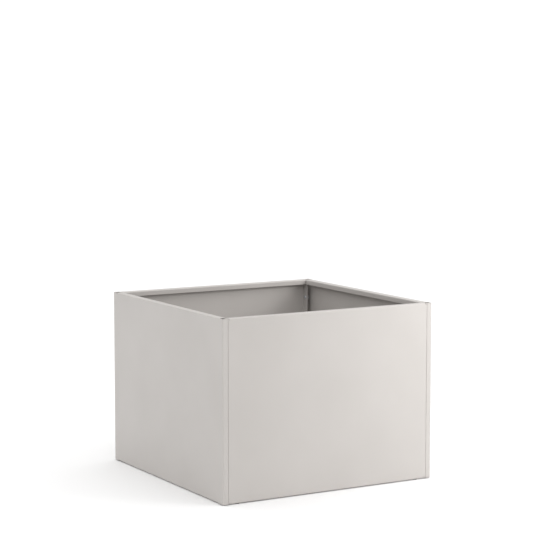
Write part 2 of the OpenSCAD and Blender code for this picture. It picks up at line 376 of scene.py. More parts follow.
@dataclass
class Shell:
    """Mesh of one piece while it is made, in millimetres.

    Attributes:
        mesh: The mesh so far.
    """

    mesh: bmesh.types.BMesh = field(default_factory=bmesh.new)

    def place(self, point: Vector) -> bmesh.types.BMVert:
        return self.mesh.verts.new(point)

    def rings(self, rings: Sequence[Sequence[Vector]], capped: bool = True) -> None:
        """Joins rings of equally many points into a closed skin.

        Args:
            rings: The rings in order, each going round the same way.
            capped: Whether the first and the last ring are filled by a face.
        """
        made = [[self.place(point) for point in ring] for ring in rings]
        count = len(made[0])
        for low, high in zip(made, made[1:]):
            for k in range(count):
                after = (k + 1) % count
                self.turned_face((low[k], low[after], high[after], high[k]))
        if capped:
            self.turned_face(made[0], flip=True)
            self.turned_face(made[-1])

    def sheet(
        self,
        columns: Sequence[float],
        rows: Sequence[float],
        where: Callable[[float, float], Vector],
        punches: Sequence[Punch] = (),
        keep: Callable[[float, float], bool] | None = None,
        flip: bool = False,
    ) -> None:
        """Lays a grid of cells over a surface, with holes in it.

        Args:
            columns: Places of the grid's lines one way, in rising order.
            rows: Places of its lines the other way.
            where: Gives the point of a column and a row.
            punches: Holes, each in the middle of its own block of cells.
            keep: Says of a cell's middle whether the sheet has that cell. Without it, it has all.
            flip: Whether the faces are turned over.
        """
        verts = [[self.place(where(column, row)) for row in rows] for column in columns]
        blocks = [
            (
                nearest(columns, punch.low[0]), nearest(columns, punch.high[0]),
                nearest(rows, punch.low[1]), nearest(rows, punch.high[1]),
            )
            for punch in punches
        ]
        for i in range(len(columns) - 1):
            for j in range(len(rows) - 1):
                middle = (columns[i] + columns[i + 1]) / 2, (rows[j] + rows[j + 1]) / 2
                punched = any(a <= i < b and c <= j < d for a, b, c, d in blocks)
                if punched or (keep and not keep(*middle)):
                    continue
                self.turned_face((verts[i][j], verts[i + 1][j], verts[i + 1][j + 1], verts[i][j + 1]), flip)
        for (a, b, c, d), punch in zip(blocks, punches):
            sides = [
                [verts[i][c] for i in range(a, b + 1)],
                [verts[b][j] for j in range(c, d + 1)],
                [verts[i][d] for i in range(b, a - 1, -1)],
                [verts[a][j] for j in range(d, c - 1, -1)],
            ]
            self.punched_block(sides, punch, flip)

    def punched_block(self, sides: list[list[bmesh.types.BMVert]], punch: Punch, flip: bool) -> None:
        """Fills one block of cells round a hole.

        Args:
            sides: The vertices along the block's four sides, going round.
            punch: The hole.
            flip: Whether the faces are turned over.
        """
        corners = [side[0].co for side in sides]
        centre = sum(corners, Vector()) / 4
        across, up = (corners[1] - corners[0]).normalized(), (corners[3] - corners[0]).normalized()
        behind = across.cross(up) * (1 if flip else -1)
        steps, first_corner = punch.steps, 3 * math.pi / 4
        angles = [2 * math.pi * k / steps - first_corner for k in range(steps)]
        ways = [across * math.cos(angle) + up * math.sin(angle) for angle in angles]
        rings = [
            [self.place(centre + way * radius + behind * depth) for way in ways]
            for radius, depth in punch.rings
        ]
        quarter = steps // 4
        for k, side in enumerate(sides):
            arc = [rings[0][(k * quarter + i) % steps] for i in range(quarter + 1)]
            self.turned_face([*side, *reversed(arc)], flip)
        for outer, inner in zip(rings, rings[1:]):
            for k in range(steps):
                after = (k + 1) % steps
                self.turned_face((outer[k], outer[after], inner[after], inner[k]), flip)

    def turned_face(self, corners: Sequence[bmesh.types.BMVert], flip: bool = False) -> None:
        """Adds a face, turned over if flip is true."""
        self.mesh.faces.new(list(reversed(corners)) if flip else list(corners))

    def finish(self, name: str, place: Matrix = Matrix.Identity(4), closed: bool = True) -> bpy.types.Object:
        """Welds the mesh, scales it to metres and makes an object of it.

        Args:
            name: Name of the piece.
            place: Where the piece stands, in millimetres.
            closed: Whether it is a closed skin, whose faces are then turned outwards.

        Returns:
            The object, which is in the scene.
        """
        bmesh.ops.remove_doubles(self.mesh, verts=self.mesh.verts, dist=WELD_DIST)
        loose = [vert for vert in self.mesh.verts if not vert.link_faces]
        bmesh.ops.delete(self.mesh, geom=loose, context="VERTS")
        if closed:
            bmesh.ops.recalc_face_normals(self.mesh, faces=self.mesh.faces)
        self.mesh.transform(Matrix.Scale(MM, 4) @ place)
        data = bpy.data.meshes.new(name)
        self.mesh.to_mesh(data)
        self.mesh.free()
        data.polygons.foreach_set("use_smooth", [True] * len(data.polygons))
        piece = bpy.data.objects.new(name, data)
        bpy.context.scene.collection.objects.link(piece)
        return piece


def nearest(values: Sequence[float], wanted: float) -> int:
    """Index of the value that is nearest to the wanted one."""
    return min(range(len(values)), key=lambda i: abs(values[i] - wanted))


def thicken(piece: bpy.types.Object, thickness: float) -> None:
    """Gives a sheet its thickness, behind its drawn face.

    Args:
        piece: The sheet, as a surface.
        thickness: Thickness in millimetres.
    """
    solid = piece.modifiers.new("sheet_thickness", "SOLIDIFY")
    solid.thickness = thickness * MM
    solid.offset = -1
    solid.use_even_offset = True


def break_edges(piece: bpy.types.Object, width: float, steps: int = 2, over: float = 50.0) -> None:
    """Rounds the piece's sharp edges and evens the shading of its flats.

    Args:
        piece: The piece.
        width: Width of the rounding in millimetres.
        steps: Number of steps in the rounding.
        over: Angle in degrees past which an edge counts as sharp.
    """
    bevel = piece.modifiers.new("broken_edges", "BEVEL")
    bevel.width = width * MM
    bevel.segments = steps
    bevel.limit_method = "ANGLE"
    bevel.angle_limit = math.radians(over)
    shading = piece.modifiers.new("even_shading", "WEIGHTED_NORMAL")
    shading.keep_sharp = True


class SubAssembly:
    """A piece of the planter, or several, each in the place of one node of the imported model."""

    slot: ClassVar[Slot]

    def shape(self) -> dict[str, bpy.types.Object]:
        """Builds the meshes and gives them by the node that each stands for."""
        raise NotImplementedError

    def dress(self, piece: bpy.types.Object, node: str, material: bpy.types.Material) -> None:
        """Gives a piece its finish and puts it in the place of its node.

        Args:
            piece: The piece.
            node: The node that it stands for.
            material: The finish.
        """
        bodies = frame["record"]["behaviour"]["bodies"]
        piece.data.materials.append(material)
        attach(piece, next(body for body, nodes in bodies.items() if node in nodes))
        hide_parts(node)

    def build(self, finishes: dict[Slot, bpy.types.Material]) -> dict[str, bpy.types.Object]:
        """Builds and dresses the pieces.

        Args:
            finishes: The material of each slot.

        Returns:
            The pieces, by the node that each stands for.
        """
        made = self.shape()
        for node, piece in made.items():
            self.dress(piece, node, finishes[self.slot])
        return made


@dataclass
class NodeSheet:
    """Node tree of a material or group while it is wired.

    Attributes:
        tree: The tree so far.
    """

    tree: bpy.types.NodeTree

    def node(self, kind: str, inputs: dict[Any, Any] | None = None, **settings: Any) -> bpy.types.Node:
        """Adds a node.

        Args:
            kind: Blender's name of the node's type.
            inputs: Input to its value, or to the output that feeds it.
            **settings: The node's other settings.

        Returns:
            The node.
        """
        made = self.tree.nodes.new(kind)
        for name, value in settings.items():
            setattr(made, name, value)
        for key, value in (inputs or {}).items():
            self.give(made.inputs[key], value)
        return made

    def give(self, socket: bpy.types.NodeSocket, value: Any) -> None:
        """Feeds or sets an input.

        Args:
            socket: The input.
            value: The output that feeds it, or its value.
        """
        if isinstance(value, bpy.types.NodeSocket):
            self.tree.links.new(value, socket)
        else:
            socket.default_value = value

    def math(self, operation: str, *values: Any, clamp: bool = False) -> bpy.types.NodeSocket:
        """Adds a math node over numbers or outputs and gives its output."""
        made = self.node("ShaderNodeMath", dict(enumerate(values)), operation=operation, use_clamp=clamp)
        return made.outputs[0]

    def product(self, first: Any, second: Any, third: Any) -> bpy.types.NodeSocket:
        """Multiplies three numbers or outputs, held from 0 to 1, and gives the output."""
        return self.math("MULTIPLY", self.math("MULTIPLY", first, second), third, clamp=True)

    def dulled(self, rough: Any, share: Any, extra: float) -> bpy.types.NodeSocket:
        """Adds a share of an extra to a roughness, held up to 1, and gives the output."""
        return self.math("ADD", rough, self.math("MULTIPLY", share, extra), clamp=True)

    def vector(self, operation: str, *values: Any, **named: Any) -> bpy.types.NodeSocket:
        """Adds a vector math node over vectors or outputs and gives its output."""
        made = self.node("ShaderNodeVectorMath", {**dict(enumerate(values)), **named}, operation=operation)
        return made.outputs["Vector"]

    def place(self) -> bpy.types.NodeSocket:
        """Adds the place on the piece, in metres, and gives the output."""
        return self.node("ShaderNodeTexCoord").outputs["Object"]

    def remap(self, value: Any, source: Row, target: Row = SHARE) -> bpy.types.NodeSocket:
        """Maps a value from one range to another and holds it inside.

        Args:
            value: Number or output to map.
            source: Range that it comes from.
            target: Range that it goes to.

        Returns:
            The output.
        """
        ranges = zip(("From Min", "From Max", "To Min", "To Max"), (*source, *target))
        made = self.node("ShaderNodeMapRange", {"Value": value, **dict(ranges)})
        return made.outputs["Result"]

    def cloud(self, place: Any, pitch: Any, detail: float) -> bpy.types.NodeSocket:
        """Adds a noise texture.

        Args:
            place: Output that gives the place on the piece.
            pitch: About the distance between its features, in metres.
            detail: Number of finer layers in it.

        Returns:
            The output, from 0 to 1.
        """
        scale = self.math("DIVIDE", 1.0, pitch)
        made = self.node("ShaderNodeTexNoise", {"Vector": place, "Scale": scale, "Detail": detail})
        return made.outputs["Fac"]

    def bump(self, height: Any, strength: float, depth: float) -> bpy.types.NodeSocket:
        """Adds a bump for a height, with its depth in metres, and gives the normal."""
        inputs = {"Strength": strength, "Distance": depth, "Height": height}
        return self.node("ShaderNodeBump", inputs).outputs["Normal"]

    def mix(self, share: Any, first: Any, second: Any) -> bpy.types.NodeSocket:
        """Mixes two colours.

        Args:
            share: Share of the second.
            first: Colour or output.
            second: Colour or output.

        Returns:
            The output.
        """
        made = self.node("ShaderNodeMix", data_type="RGBA")
        for name, kind, value in (("Factor", "VALUE", share), ("A", "RGBA", first), ("B", "RGBA", second)):
            self.give(next(s for s in made.inputs if s.name == name and s.type == kind), value)
        return next(s for s in made.outputs if s.type == "RGBA")

    def group(self, tree: bpy.types.NodeTree, inputs: dict[str, float]) -> Any:
        """Places a shared group with this material's own values and gives its outputs."""
        return self.node("ShaderNodeGroup", inputs, node_tree=tree).outputs


def new_group(name: str, inputs: dict[str, float], outputs: Sequence[str]) -> tuple[NodeSheet, Any, Any]:
    """Starts a shader node group with named sockets.

    Args:
        name: Name of the group.
        inputs: Name of each number that it takes, and its usual value.
        outputs: Name of each number that it puts out.

    Returns:
        The sheet to wire, the group's inputs by name, and its output node's inputs by name.
    """
    tree = bpy.data.node_groups.new(name, "ShaderNodeTree")
    for key, value in inputs.items():
        socket = tree.interface.new_socket(key, in_out="INPUT", socket_type="NodeSocketFloat")
        socket.default_value = value
    for key in outputs:
        tree.interface.new_socket(key, in_out="OUTPUT", socket_type="NodeSocketFloat")
    sheet = NodeSheet(tree)
    given = sheet.node("NodeGroupInput").outputs
    asked = sheet.node("NodeGroupOutput").inputs
    return sheet, given, asked


def surface_grain_group() -> bpy.types.NodeTree:
    """Builds the effect of a fine skin texture and a slow drift over the surface.

    Returns:
        The group. It takes the grain's pitch and the drift's pitch in metres, and puts out the
        grain's height and the drift, both from 0 to 1.
    """
    sheet, given, asked = new_group(
        "surface_grain", {"Grain Pitch": 0.001, "Drift Pitch": 0.1}, ("Height", "Drift")
    )
    place = sheet.place()
    for pitch, detail, output in (("Grain Pitch", 1.0, "Height"), ("Drift Pitch", 3.0, "Drift")):
        sheet.give(asked[output], sheet.cloud(place, given[pitch], detail))
    return sheet.tree


def edge_rub_group() -> bpy.types.NodeTree:
    """Builds the effect of corners rubbed by handling.

    Returns:
        The group. It takes the rub's reach and the pitch of its breaks in metres and how much is
        rubbed, and puts out the rubbed share, from 0 to 1.
    """
    flat_to_sharp: Row = (0.97, 0.8)  # cosine between the rounded and the plain normal
    whole_to_rubbed: Row = (0.42, 0.62)
    sheet, given, asked = new_group(
        "edge_rub", {"Reach": 0.001, "Break Pitch": 0.02, "Amount": 0.5}, ("Rubbed",)
    )
    rounded = sheet.node("ShaderNodeBevel", {"Radius": given["Reach"]}, samples=4).outputs["Normal"]
    plain = sheet.node("ShaderNodeNewGeometry").outputs["Normal"]
    along = sheet.node("ShaderNodeVectorMath", {0: rounded, 1: plain}, operation="DOT_PRODUCT")
    edge = sheet.remap(along.outputs["Value"], flat_to_sharp)
    patchy = sheet.remap(sheet.cloud(sheet.place(), given["Break Pitch"], detail=4.0), whole_to_rubbed)
    sheet.give(asked["Rubbed"], sheet.product(edge, patchy, given["Amount"]))
    return sheet.tree


def settled_dust_group() -> bpy.types.NodeTree:
    """Builds the effect of dust that settles on upward faces.

    Returns:
        The group. It takes the pitch of the patches in metres and how much has settled, and puts
        out the dusty share, from 0 to 1.
    """
    steep_to_level: Row = (0.3, 1.0)  # upward part of the normal
    clean_to_dusty: Row = (0.35, 0.7)
    least_to_most: Row = (0.15, 1.0)
    sheet, given, asked = new_group("settled_dust", {"Patch Pitch": 0.05, "Amount": 0.3}, ("Dust",))
    normal = sheet.node("ShaderNodeNewGeometry").outputs["Normal"]
    upward = sheet.remap(sheet.node("ShaderNodeSeparateXYZ", {0: normal}).outputs["Z"], steep_to_level)
    patches = sheet.cloud(sheet.place(), given["Patch Pitch"], detail=7.0)
    share = sheet.remap(patches, clean_to_dusty, least_to_most)
    sheet.give(asked["Dust"], sheet.product(upward, share, given["Amount"]))
    return sheet.tree


@dataclass(frozen=True)
class SharedEffects:
    """Node groups that more than one finish uses.

    Attributes:
        grain: Fine skin texture and slow drift.
        rub: Corners rubbed by handling.
        dust: Dust on upward faces.
    """

    grain: bpy.types.NodeTree
    rub: bpy.types.NodeTree
    dust: bpy.types.NodeTree

    @classmethod
    def build(cls) -> "SharedEffects":
        """Builds all the groups once."""
        return cls(surface_grain_group(), edge_rub_group(), settled_dust_group())


def new_material(name: str) -> tuple[NodeSheet, bpy.types.Material, bpy.types.Node]:
    """Starts a material with one Principled shader.

    Args:
        name: Name of the material.

    Returns:
        The sheet to wire, the material and its shader.
    """
    material = bpy.data.materials.new(name)
    material.use_nodes = True
    material.node_tree.nodes.clear()
    sheet = NodeSheet(material.node_tree)
    shader = sheet.node("ShaderNodeBsdfPrincipled")
    sheet.node("ShaderNodeOutputMaterial", {"Surface": shader.outputs["BSDF"]})
    return sheet, material, shader


def feed(sheet: NodeSheet, shader: bpy.types.Node, **sources: bpy.types.NodeSocket) -> None:
    """Links outputs to the shader's sockets; an underscore in a name stands for a space."""
    for key, source in sources.items():
        sheet.tree.links.new(source, shader.inputs[key.replace("_", " ")])


@dataclass(frozen=True)
class PowderCoat:
    """Satin powder coat in a warm light grey.

    Attributes:
        colour: Main colour.
        shade: Colour to which it drifts.
        bare: Colour of rubbed corners.
        dust: Colour of settled dust.
        roughness: Roughness at the two ends of the drift.
        dust_dulling: Roughness that dust adds.
        peel: Strength of the skin texture, and its depth in metres.
    """

    colour: Colour = (0.53, 0.503, 0.480, 1)
    shade: Colour = (0.51, 0.484, 0.461, 1)
    bare: Colour = (0.66, 0.645, 0.63, 1)
    dust: Colour = (0.52, 0.49, 0.45, 1)
    roughness: Row = (0.30, 0.38)
    dust_dulling: float = 0.3
    peel: Row = (0.35, 0.00006)

    def build(self, effects: SharedEffects) -> bpy.types.Material:
        """Wires the finish.

        Args:
            effects: The shared node groups.

        Returns:
            The material.
        """
        sheet, material, shader = new_material("warm_grey_powder_coat")
        grain = sheet.group(effects.grain, {"Grain Pitch": 0.0011, "Drift Pitch": 0.16})
        rub = sheet.group(effects.rub, {"Reach": 0.0009, "Break Pitch": 0.03, "Amount": 0.35})
        dust = sheet.group(effects.dust, {"Patch Pitch": 0.035, "Amount": 0.22})
        coat = sheet.mix(sheet.remap(grain["Drift"], NOISE_BAND), self.colour, self.shade)
        worn = sheet.mix(rub["Rubbed"], coat, self.bare)
        dusty = sheet.mix(dust["Dust"], worn, self.dust)
        even = sheet.remap(grain["Drift"], NOISE_BAND, self.roughness)
        rough = sheet.dulled(even, dust["Dust"], self.dust_dulling)
        feed(sheet, shader, Base_Color=dusty, Roughness=rough, Normal=sheet.bump(grain["Height"], *self.peel))
        return material


@dataclass(frozen=True)
class GalvanisedSheet:
    """Hot-dipped zinc with its flowers of crystals.

    Attributes:
        light: Colour of the lightest crystals.
        dark: Colour of the darkest crystals.
        bloom: Colour of the dull bloom over them.
        dust: Colour of settled dust.
        crystal_pitch: Distance between crystals in metres.
        warp: Scale of the noise that bends their borders, and how far it does in metres.
        streak_pitch: Distance between the streaks in a crystal in metres.
        streak_draw: Share to which their pattern is drawn out along their run.
        streak_tone: How far they lighten or darken a crystal.
        bloom_band: Range of the drift over which the bloom comes in.
        bloom_share: Share of the bloom where it is fullest.
        roughness: Roughness of the smoothest and the roughest crystals.
        bloom_dulling: Roughness that the bloom adds.
        relief: Height of the grain and of the streaks, where that of the crystals is 1.
        bump: Strength of the relief, and its depth in metres.
        metallic: Share of bare metal.
    """

    light: Colour = (0.60, 0.615, 0.63, 1)
    dark: Colour = (0.40, 0.415, 0.43, 1)
    bloom: Colour = (0.66, 0.67, 0.67, 1)
    dust: Colour = (0.36, 0.33, 0.29, 1)
    crystal_pitch: float = 0.013
    warp: Row = (60.0, 0.006)
    streak_pitch: float = 0.0007
    streak_draw: float = 0.12
    streak_tone: float = 0.22
    bloom_band: Row = (0.52, 0.72)
    bloom_share: float = 0.45
    roughness: Row = (0.3, 0.5)
    bloom_dulling: float = 0.4
    relief: Row = (0.25, 0.6)
    bump: Row = (0.25, 0.00004)
    metallic: float = 0.85

    def build(self, effects: SharedEffects) -> bpy.types.Material:
        """Wires the finish.

        Args:
            effects: The shared node groups.

        Returns:
            The material.
        """
        sheet, material, shader = new_material("galvanised_sheet_steel")
        grain = sheet.group(effects.grain, {"Grain Pitch": 0.0007, "Drift Pitch": 0.07})
        dust = sheet.group(effects.dust, {"Patch Pitch": 0.03, "Amount": 0.3})
        place, (warp_scale, warp_reach) = sheet.place(), self.warp
        bent = sheet.node("ShaderNodeTexNoise", {"Vector": place, "Scale": warp_scale, "Detail": 2.0})
        moved = sheet.vector("ADD", place, sheet.vector("SCALE", bent.outputs["Color"], Scale=warp_reach))
        crystals = sheet.node("ShaderNodeTexVoronoi", {"Vector": moved, "Scale": 1 / self.crystal_pitch})
        own = crystals.outputs["Color"]
        tone = sheet.node("ShaderNodeSeparateColor", {"Color": own}).outputs
        feather = self.feathers(sheet, place, own)
        streaks = sheet.remap(feather, NOISE_BAND, (-self.streak_tone, self.streak_tone))
        metal = sheet.mix(sheet.math("ADD", tone["Red"], streaks, clamp=True), self.dark, self.light)
        bloom = sheet.remap(grain["Drift"], self.bloom_band, (0.0, self.bloom_share))
        dusty = sheet.mix(dust["Dust"], sheet.mix(bloom, metal, self.bloom), self.dust)
        rough = sheet.dulled(sheet.remap(tone["Green"], SHARE, self.roughness), bloom, self.bloom_dulling)
        grain_h, feather_h = self.relief
        streaked = sheet.math("MULTIPLY", feather, feather_h)
        fine = sheet.math("MULTIPLY_ADD", grain["Height"], grain_h, streaked)
        relief = sheet.math("ADD", tone["Blue"], fine)
        feed(sheet, shader, Base_Color=dusty, Roughness=rough, Normal=sheet.bump(relief, *self.bump))
        shader.inputs["Metallic"].default_value = self.metallic
        return material

    def feathers(self, sheet: NodeSheet, place: Any, turn: Any) -> bpy.types.NodeSocket:
        """Fine streaks inside each crystal, which run its own way.

        Args:
            sheet: The material's nodes.
            place: Output that gives the place on the piece.
            turn: Output that gives each crystal its own three numbers.

        Returns:
            The output that gives the streaks, from 0 to 1.
        """
        angles = sheet.vector("SCALE", turn, Scale=math.tau)
        turned = sheet.node(
            "ShaderNodeVectorRotate", {"Vector": place, "Rotation": angles}, rotation_type="EULER_XYZ"
        )
        drawn = sheet.vector("MULTIPLY", turned.outputs["Vector"], (1.0, self.streak_draw, 1.0))
        streaks = {"Vector": drawn, "Scale": 1 / self.streak_pitch, "Detail": 2.0}
        return sheet.node("ShaderNodeTexNoise", streaks).outputs["Fac"]


@dataclass(frozen=True)
class ZincPlate:
    """Bright zinc plating on small fasteners.

    Attributes:
        light: Lighter colour of the plating.
        dark: Darker colour of the plating.
        bright: Colour of rubbed corners.
        roughness: Roughness at the two ends of the drift.
        bump: Strength of the grain, and its depth in metres.
    """

    light: Colour = (0.66, 0.67, 0.69, 1)
    dark: Colour = (0.47, 0.48, 0.50, 1)
    bright: Colour = (0.80, 0.80, 0.80, 1)
    roughness: Row = (0.24, 0.4)
    bump: Row = (0.2, 0.00002)

    def build(self, effects: SharedEffects) -> bpy.types.Material:
        """Wires the finish.

        Args:
            effects: The shared node groups.

        Returns:
            The material.
        """
        sheet, material, shader = new_material("bright_zinc_plate")
        grain = sheet.group(effects.grain, {"Grain Pitch": 0.0003, "Drift Pitch": 0.004})
        rub = sheet.group(effects.rub, {"Reach": 0.0004, "Break Pitch": 0.003, "Amount": 0.7})
        drift = sheet.remap(grain["Drift"], NOISE_BAND)
        worn = sheet.mix(rub["Rubbed"], sheet.mix(drift, self.dark, self.light), self.bright)
        rough = sheet.remap(drift, SHARE, self.roughness)
        feed(sheet, shader, Base_Color=worn, Roughness=rough, Normal=sheet.bump(grain["Height"], *self.bump))
        shader.inputs["Metallic"].default_value = 1.0
        return material


@dataclass(frozen=True)
class BlackRubber:
    """Moulded black rubber with a little dust.

    Attributes:
        colour: Main colour.
        worn: Colour of rubbed corners.
        dust: Colour of settled dust.
        roughness: Roughness at the two ends of the drift.
        bump: Strength of the grain, and its depth in metres.
    """

    colour: Colour = (0.020, 0.020, 0.021, 1)
    worn: Colour = (0.045, 0.044, 0.043, 1)
    dust: Colour = (0.17, 0.155, 0.14, 1)
    roughness: Row = (0.5, 0.72)
    bump: Row = (0.4, 0.00008)

    def build(self, effects: SharedEffects) -> bpy.types.Material:
        """Wires the finish.

        Args:
            effects: The shared node groups.

        Returns:
            The material.
        """
        sheet, material, shader = new_material("black_moulded_rubber")
        grain = sheet.group(effects.grain, {"Grain Pitch": 0.0005, "Drift Pitch": 0.008})
        rub = sheet.group(effects.rub, {"Reach": 0.0008, "Break Pitch": 0.006, "Amount": 0.8})
        dust = sheet.group(effects.dust, {"Patch Pitch": 0.006, "Amount": 0.45})
        worn = sheet.mix(rub["Rubbed"], self.colour, self.worn)
        dusty = sheet.mix(dust["Dust"], worn, self.dust)
        rough = sheet.remap(grain["Drift"], NOISE_BAND, self.roughness)
        feed(sheet, shader, Base_Color=dusty, Roughness=rough, Normal=sheet.bump(grain["Height"], *self.bump))
        return material


@dataclass(frozen=True)
class FoldedWall(SubAssembly):
    """A wall folded from one flat sheet: plan bends first, then its rim, lip and ledge.

    The wall's outside face is y = 0 and it is thick towards +Y, with its lower edge on z = 0.

    Attributes:
        node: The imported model's node that it stands for.
        name: Name of the piece.
        angle: Turn about Z that brings the wall to its side of the planter, in degrees.
        plan: Section of the wall seen from above.
        main_flat: Which of the plan's flats is the face that carries the rim.
        rim_l: Length of the rim.
        ledge_l: Length of the ledge.
        hole_xs: Places of the foot holes along the ledge.
        sizes: The shared sizes.
        seam_r: Outside radius of the bends at a seam, sharper than the others.
        relief_w: Width of the cut that frees the end of a fold.
        bolt_hole_r: Radius of the bolt holes in the flanges.
        foot_hole_r: Radius of the foot holes in the ledge.
        foot_cell: Half the length of the block of cells round a foot hole.
        pitch: Distance between the grid's lines on the face.
        bow: How far the face stands in from flat between its folds.
        bow_run: Distance from a border over which it comes to that.
        bow_pitch: Distance over which it wanders.
        bow_shares: Share of it that is even, and share that wanders.
        bow_seed: Place in the noise of the wall without a turn, and degrees of turn for 1 more.
        edge: Width of the rounding of the sheet's edges.
    """

    node: str
    name: str
    angle: float
    plan: Section
    main_flat: int
    rim_l: float
    ledge_l: float
    hole_xs: tuple[float, ...]
    sizes: PlanterSizes
    slot: ClassVar[Slot] = Slot.POWDER_COAT
    face_drop: ClassVar[int] = 2
    ledge_drop: ClassVar[int] = 3
    seam_r: float = 1.8
    relief_w: float = 1.0
    bolt_hole_r: float = 3.3
    foot_hole_r: float = 4.1
    foot_cell: float = 11.0
    pitch: float = 48.0
    bow: float = 0.22
    bow_run: float = 90.0
    bow_pitch: float = 210.0
    bow_shares: Row = (0.7, 1.6)
    bow_seed: Row = (0.3, 37.0)
    edge: float = 0.35

    @classmethod
    def side_wall(cls, side: Side, sizes: PlanterSizes) -> "FoldedWall":
        """Designs the left or right wall, which wraps round both corners and ends in the seams.

        Args:
            side: Side of the planter.
            sizes: The shared sizes.

        Returns:
            The wall.
        """
        label = side.name.lower()
        r, sharp = sizes.bend_r, cls.seam_r
        flange, ret, face = sizes.seam_flange_d - sharp, sizes.return_w - r - sharp, sizes.plan - 2 * r
        start = (sizes.seam_flange_d - sizes.half, sizes.return_w)
        flats, radii = (flange, ret, face, ret, flange), (sharp, r, r, sharp)
        plan = Section(flats, (Turn.LEFT,) * 4, radii, start, heading=180.0)
        rim_l = sizes.plan - 2 * (sizes.rim_w + sizes.end_gap)
        ledge_l = sizes.plan - 2 * (sizes.ledge_w + sizes.end_gap)
        node, name, angle = f"{label}_side_panel", f"{label}_wrapped_wall", 90.0 * side.value
        return cls(node, name, angle, plan, 2, rim_l, ledge_l, (), sizes)

    @classmethod
    def face_wall(cls, face: Face, sizes: PlanterSizes) -> "FoldedWall":
        """Designs the front or back wall, which fills the face between two seams.

        Args:
            face: Face of the planter.
            sizes: The shared sizes.

        Returns:
            The wall.
        """
        label = face.name.lower()
        flange, flat = sizes.seam_flange_d - cls.seam_r, 2 * (sizes.seam_x - cls.seam_r)
        start = (-sizes.seam_x, sizes.seam_flange_d)
        plan = Section((flange, flat, flange), (Turn.LEFT,) * 2, (cls.seam_r,) * 2, start, heading=-90.0)
        fold = 2 * (sizes.seam_x - sizes.bend_r - cls.relief_w)
        holes = (-sizes.foot_x, sizes.foot_x)
        turn = 0.0 if face is Face.FRONT else 180.0
        return cls(f"{label}_panel", f"{label}_flat_wall", turn, plan, 1, fold, fold, holes, sizes)

    @property
    def upright(self) -> Section:
        """Section from the lip's lower edge over the rim, down the wall and along the ledge.

        Returns:
            The section, whose flats are the lip, the rim, the face and the ledge.
        """
        s, r = self.sizes, self.sizes.bend_r
        flats = (s.lip_h - r, s.rim_w - 2 * r, s.wall_h - 2 * r, s.ledge_w - r)
        return Section(flats, (Turn.LEFT,) * 3, (r,) * 3, (s.rim_w, s.wall_h - s.lip_h), heading=90.0)

    @property
    def bolt_cells(self) -> list[Row]:
        """Stretches of the plan that hold the bolt holes.

        Returns:
            The start and end of each, one in each flange.
        """
        width = self.sizes.seam_flange_d - self.sizes.bend_r
        end = self.plan.flat_start(len(self.plan.flats) - 1) + self.plan.flats[-1]
        return [(0.0, width), (end - width, end)]

    @property
    def relief_h(self) -> float:
        """Height of the cuts at the ends of the folds."""
        return self.sizes.bend_r + self.relief_w

    def column(self, x: float) -> float:
        """Length along the plan of a place on the main face, x being 0 in its middle."""
        return self.plan.flat_start(self.main_flat) + self.plan.flats[self.main_flat] / 2 + x

    def bowed(self, x: float, z: float) -> float:
        """Slight hollow or swell of the face, none at its borders.

        Args:
            x: Place along the face, 0 in its middle.
            z: Height over the wall's lower edge.

        Returns:
            How far the face stands in there.
        """
        half_w = self.plan.flats[self.main_flat] / 2
        inset = min(half_w - abs(x), z, self.sizes.wall_h - z)
        (seed, turn), (even, wandering) = self.bow_seed, self.bow_shares
        wave = noise.noise(Vector((x / self.bow_pitch, z / self.bow_pitch, self.angle / turn + seed)))
        return self.bow * smooth_step(inset / self.bow_run) * (even + wandering * wave)

    def shape(self) -> dict[str, bpy.types.Object]:
        """Folds the sheet.

        Returns:
            The wall in its place, by its node.
        """
        s, shell, columns = self.sizes, Shell(), self.columns()
        self.lay_face(shell, columns)
        for fold in Fold:
            self.lay_fold(shell, columns, fold)
        turn = Matrix.Rotation(math.radians(self.angle), 4, "Z")
        place = Matrix.Translation((0, 0, s.foot_h)) @ turn @ Matrix.Translation((0, -s.half, 0))
        piece = shell.finish(self.name, place, closed=False)
        thicken(piece, s.sheet_t)
        break_edges(piece, self.edge)
        return {self.node: piece}

    def columns(self) -> list[float]:
        """Finds the grid's lines along the plan.

        Returns:
            The lengths of bends, ends of folds, blocks round holes, and even steps, in order.
        """
        half_flat = self.plan.flats[self.main_flat] / 2
        ends = [half + cut for half in (self.rim_l / 2, self.ledge_l / 2) for cut in (0, self.relief_w)]
        xs = [w * end for end in ends for w in BOTH_WAYS]
        xs += [x + w * self.foot_cell for x in self.hole_xs for w in BOTH_WAYS]
        xs += spread(-half_flat, half_flat, 1 + round(2 * half_flat / self.pitch))
        return merged(self.plan.breaks(), [self.column(x) for x in xs], *self.bolt_cells)

    def lay_face(self, shell: Shell, columns: Sequence[float]) -> None:
        """Lays the upright part between the folds, with its flanges and bolt holes.

        Args:
            shell: The mesh to add to.
            columns: Lengths along the plan of the grid's lines.
        """
        s = self.sizes
        half_cell = (s.seam_flange_d - s.bend_r) / 2
        drops = [s.wall_h - (z - s.foot_h) for z in s.bolt_heights]
        marks = [drop + w * half_cell for drop in drops for w in BOTH_WAYS]
        low, high = self.relief_h, s.wall_h - self.relief_h
        rows = merged(marks, spread(low, high, 1 + round((high - low) / self.pitch)))
        punches = [
            Punch((near, drop - half_cell), (far, drop + half_cell), ((self.bolt_hole_r, 0.0),))
            for near, far in self.bolt_cells
            for drop in drops
        ]
        shell.sheet(columns, rows, self.straight_point, punches, flip=True)

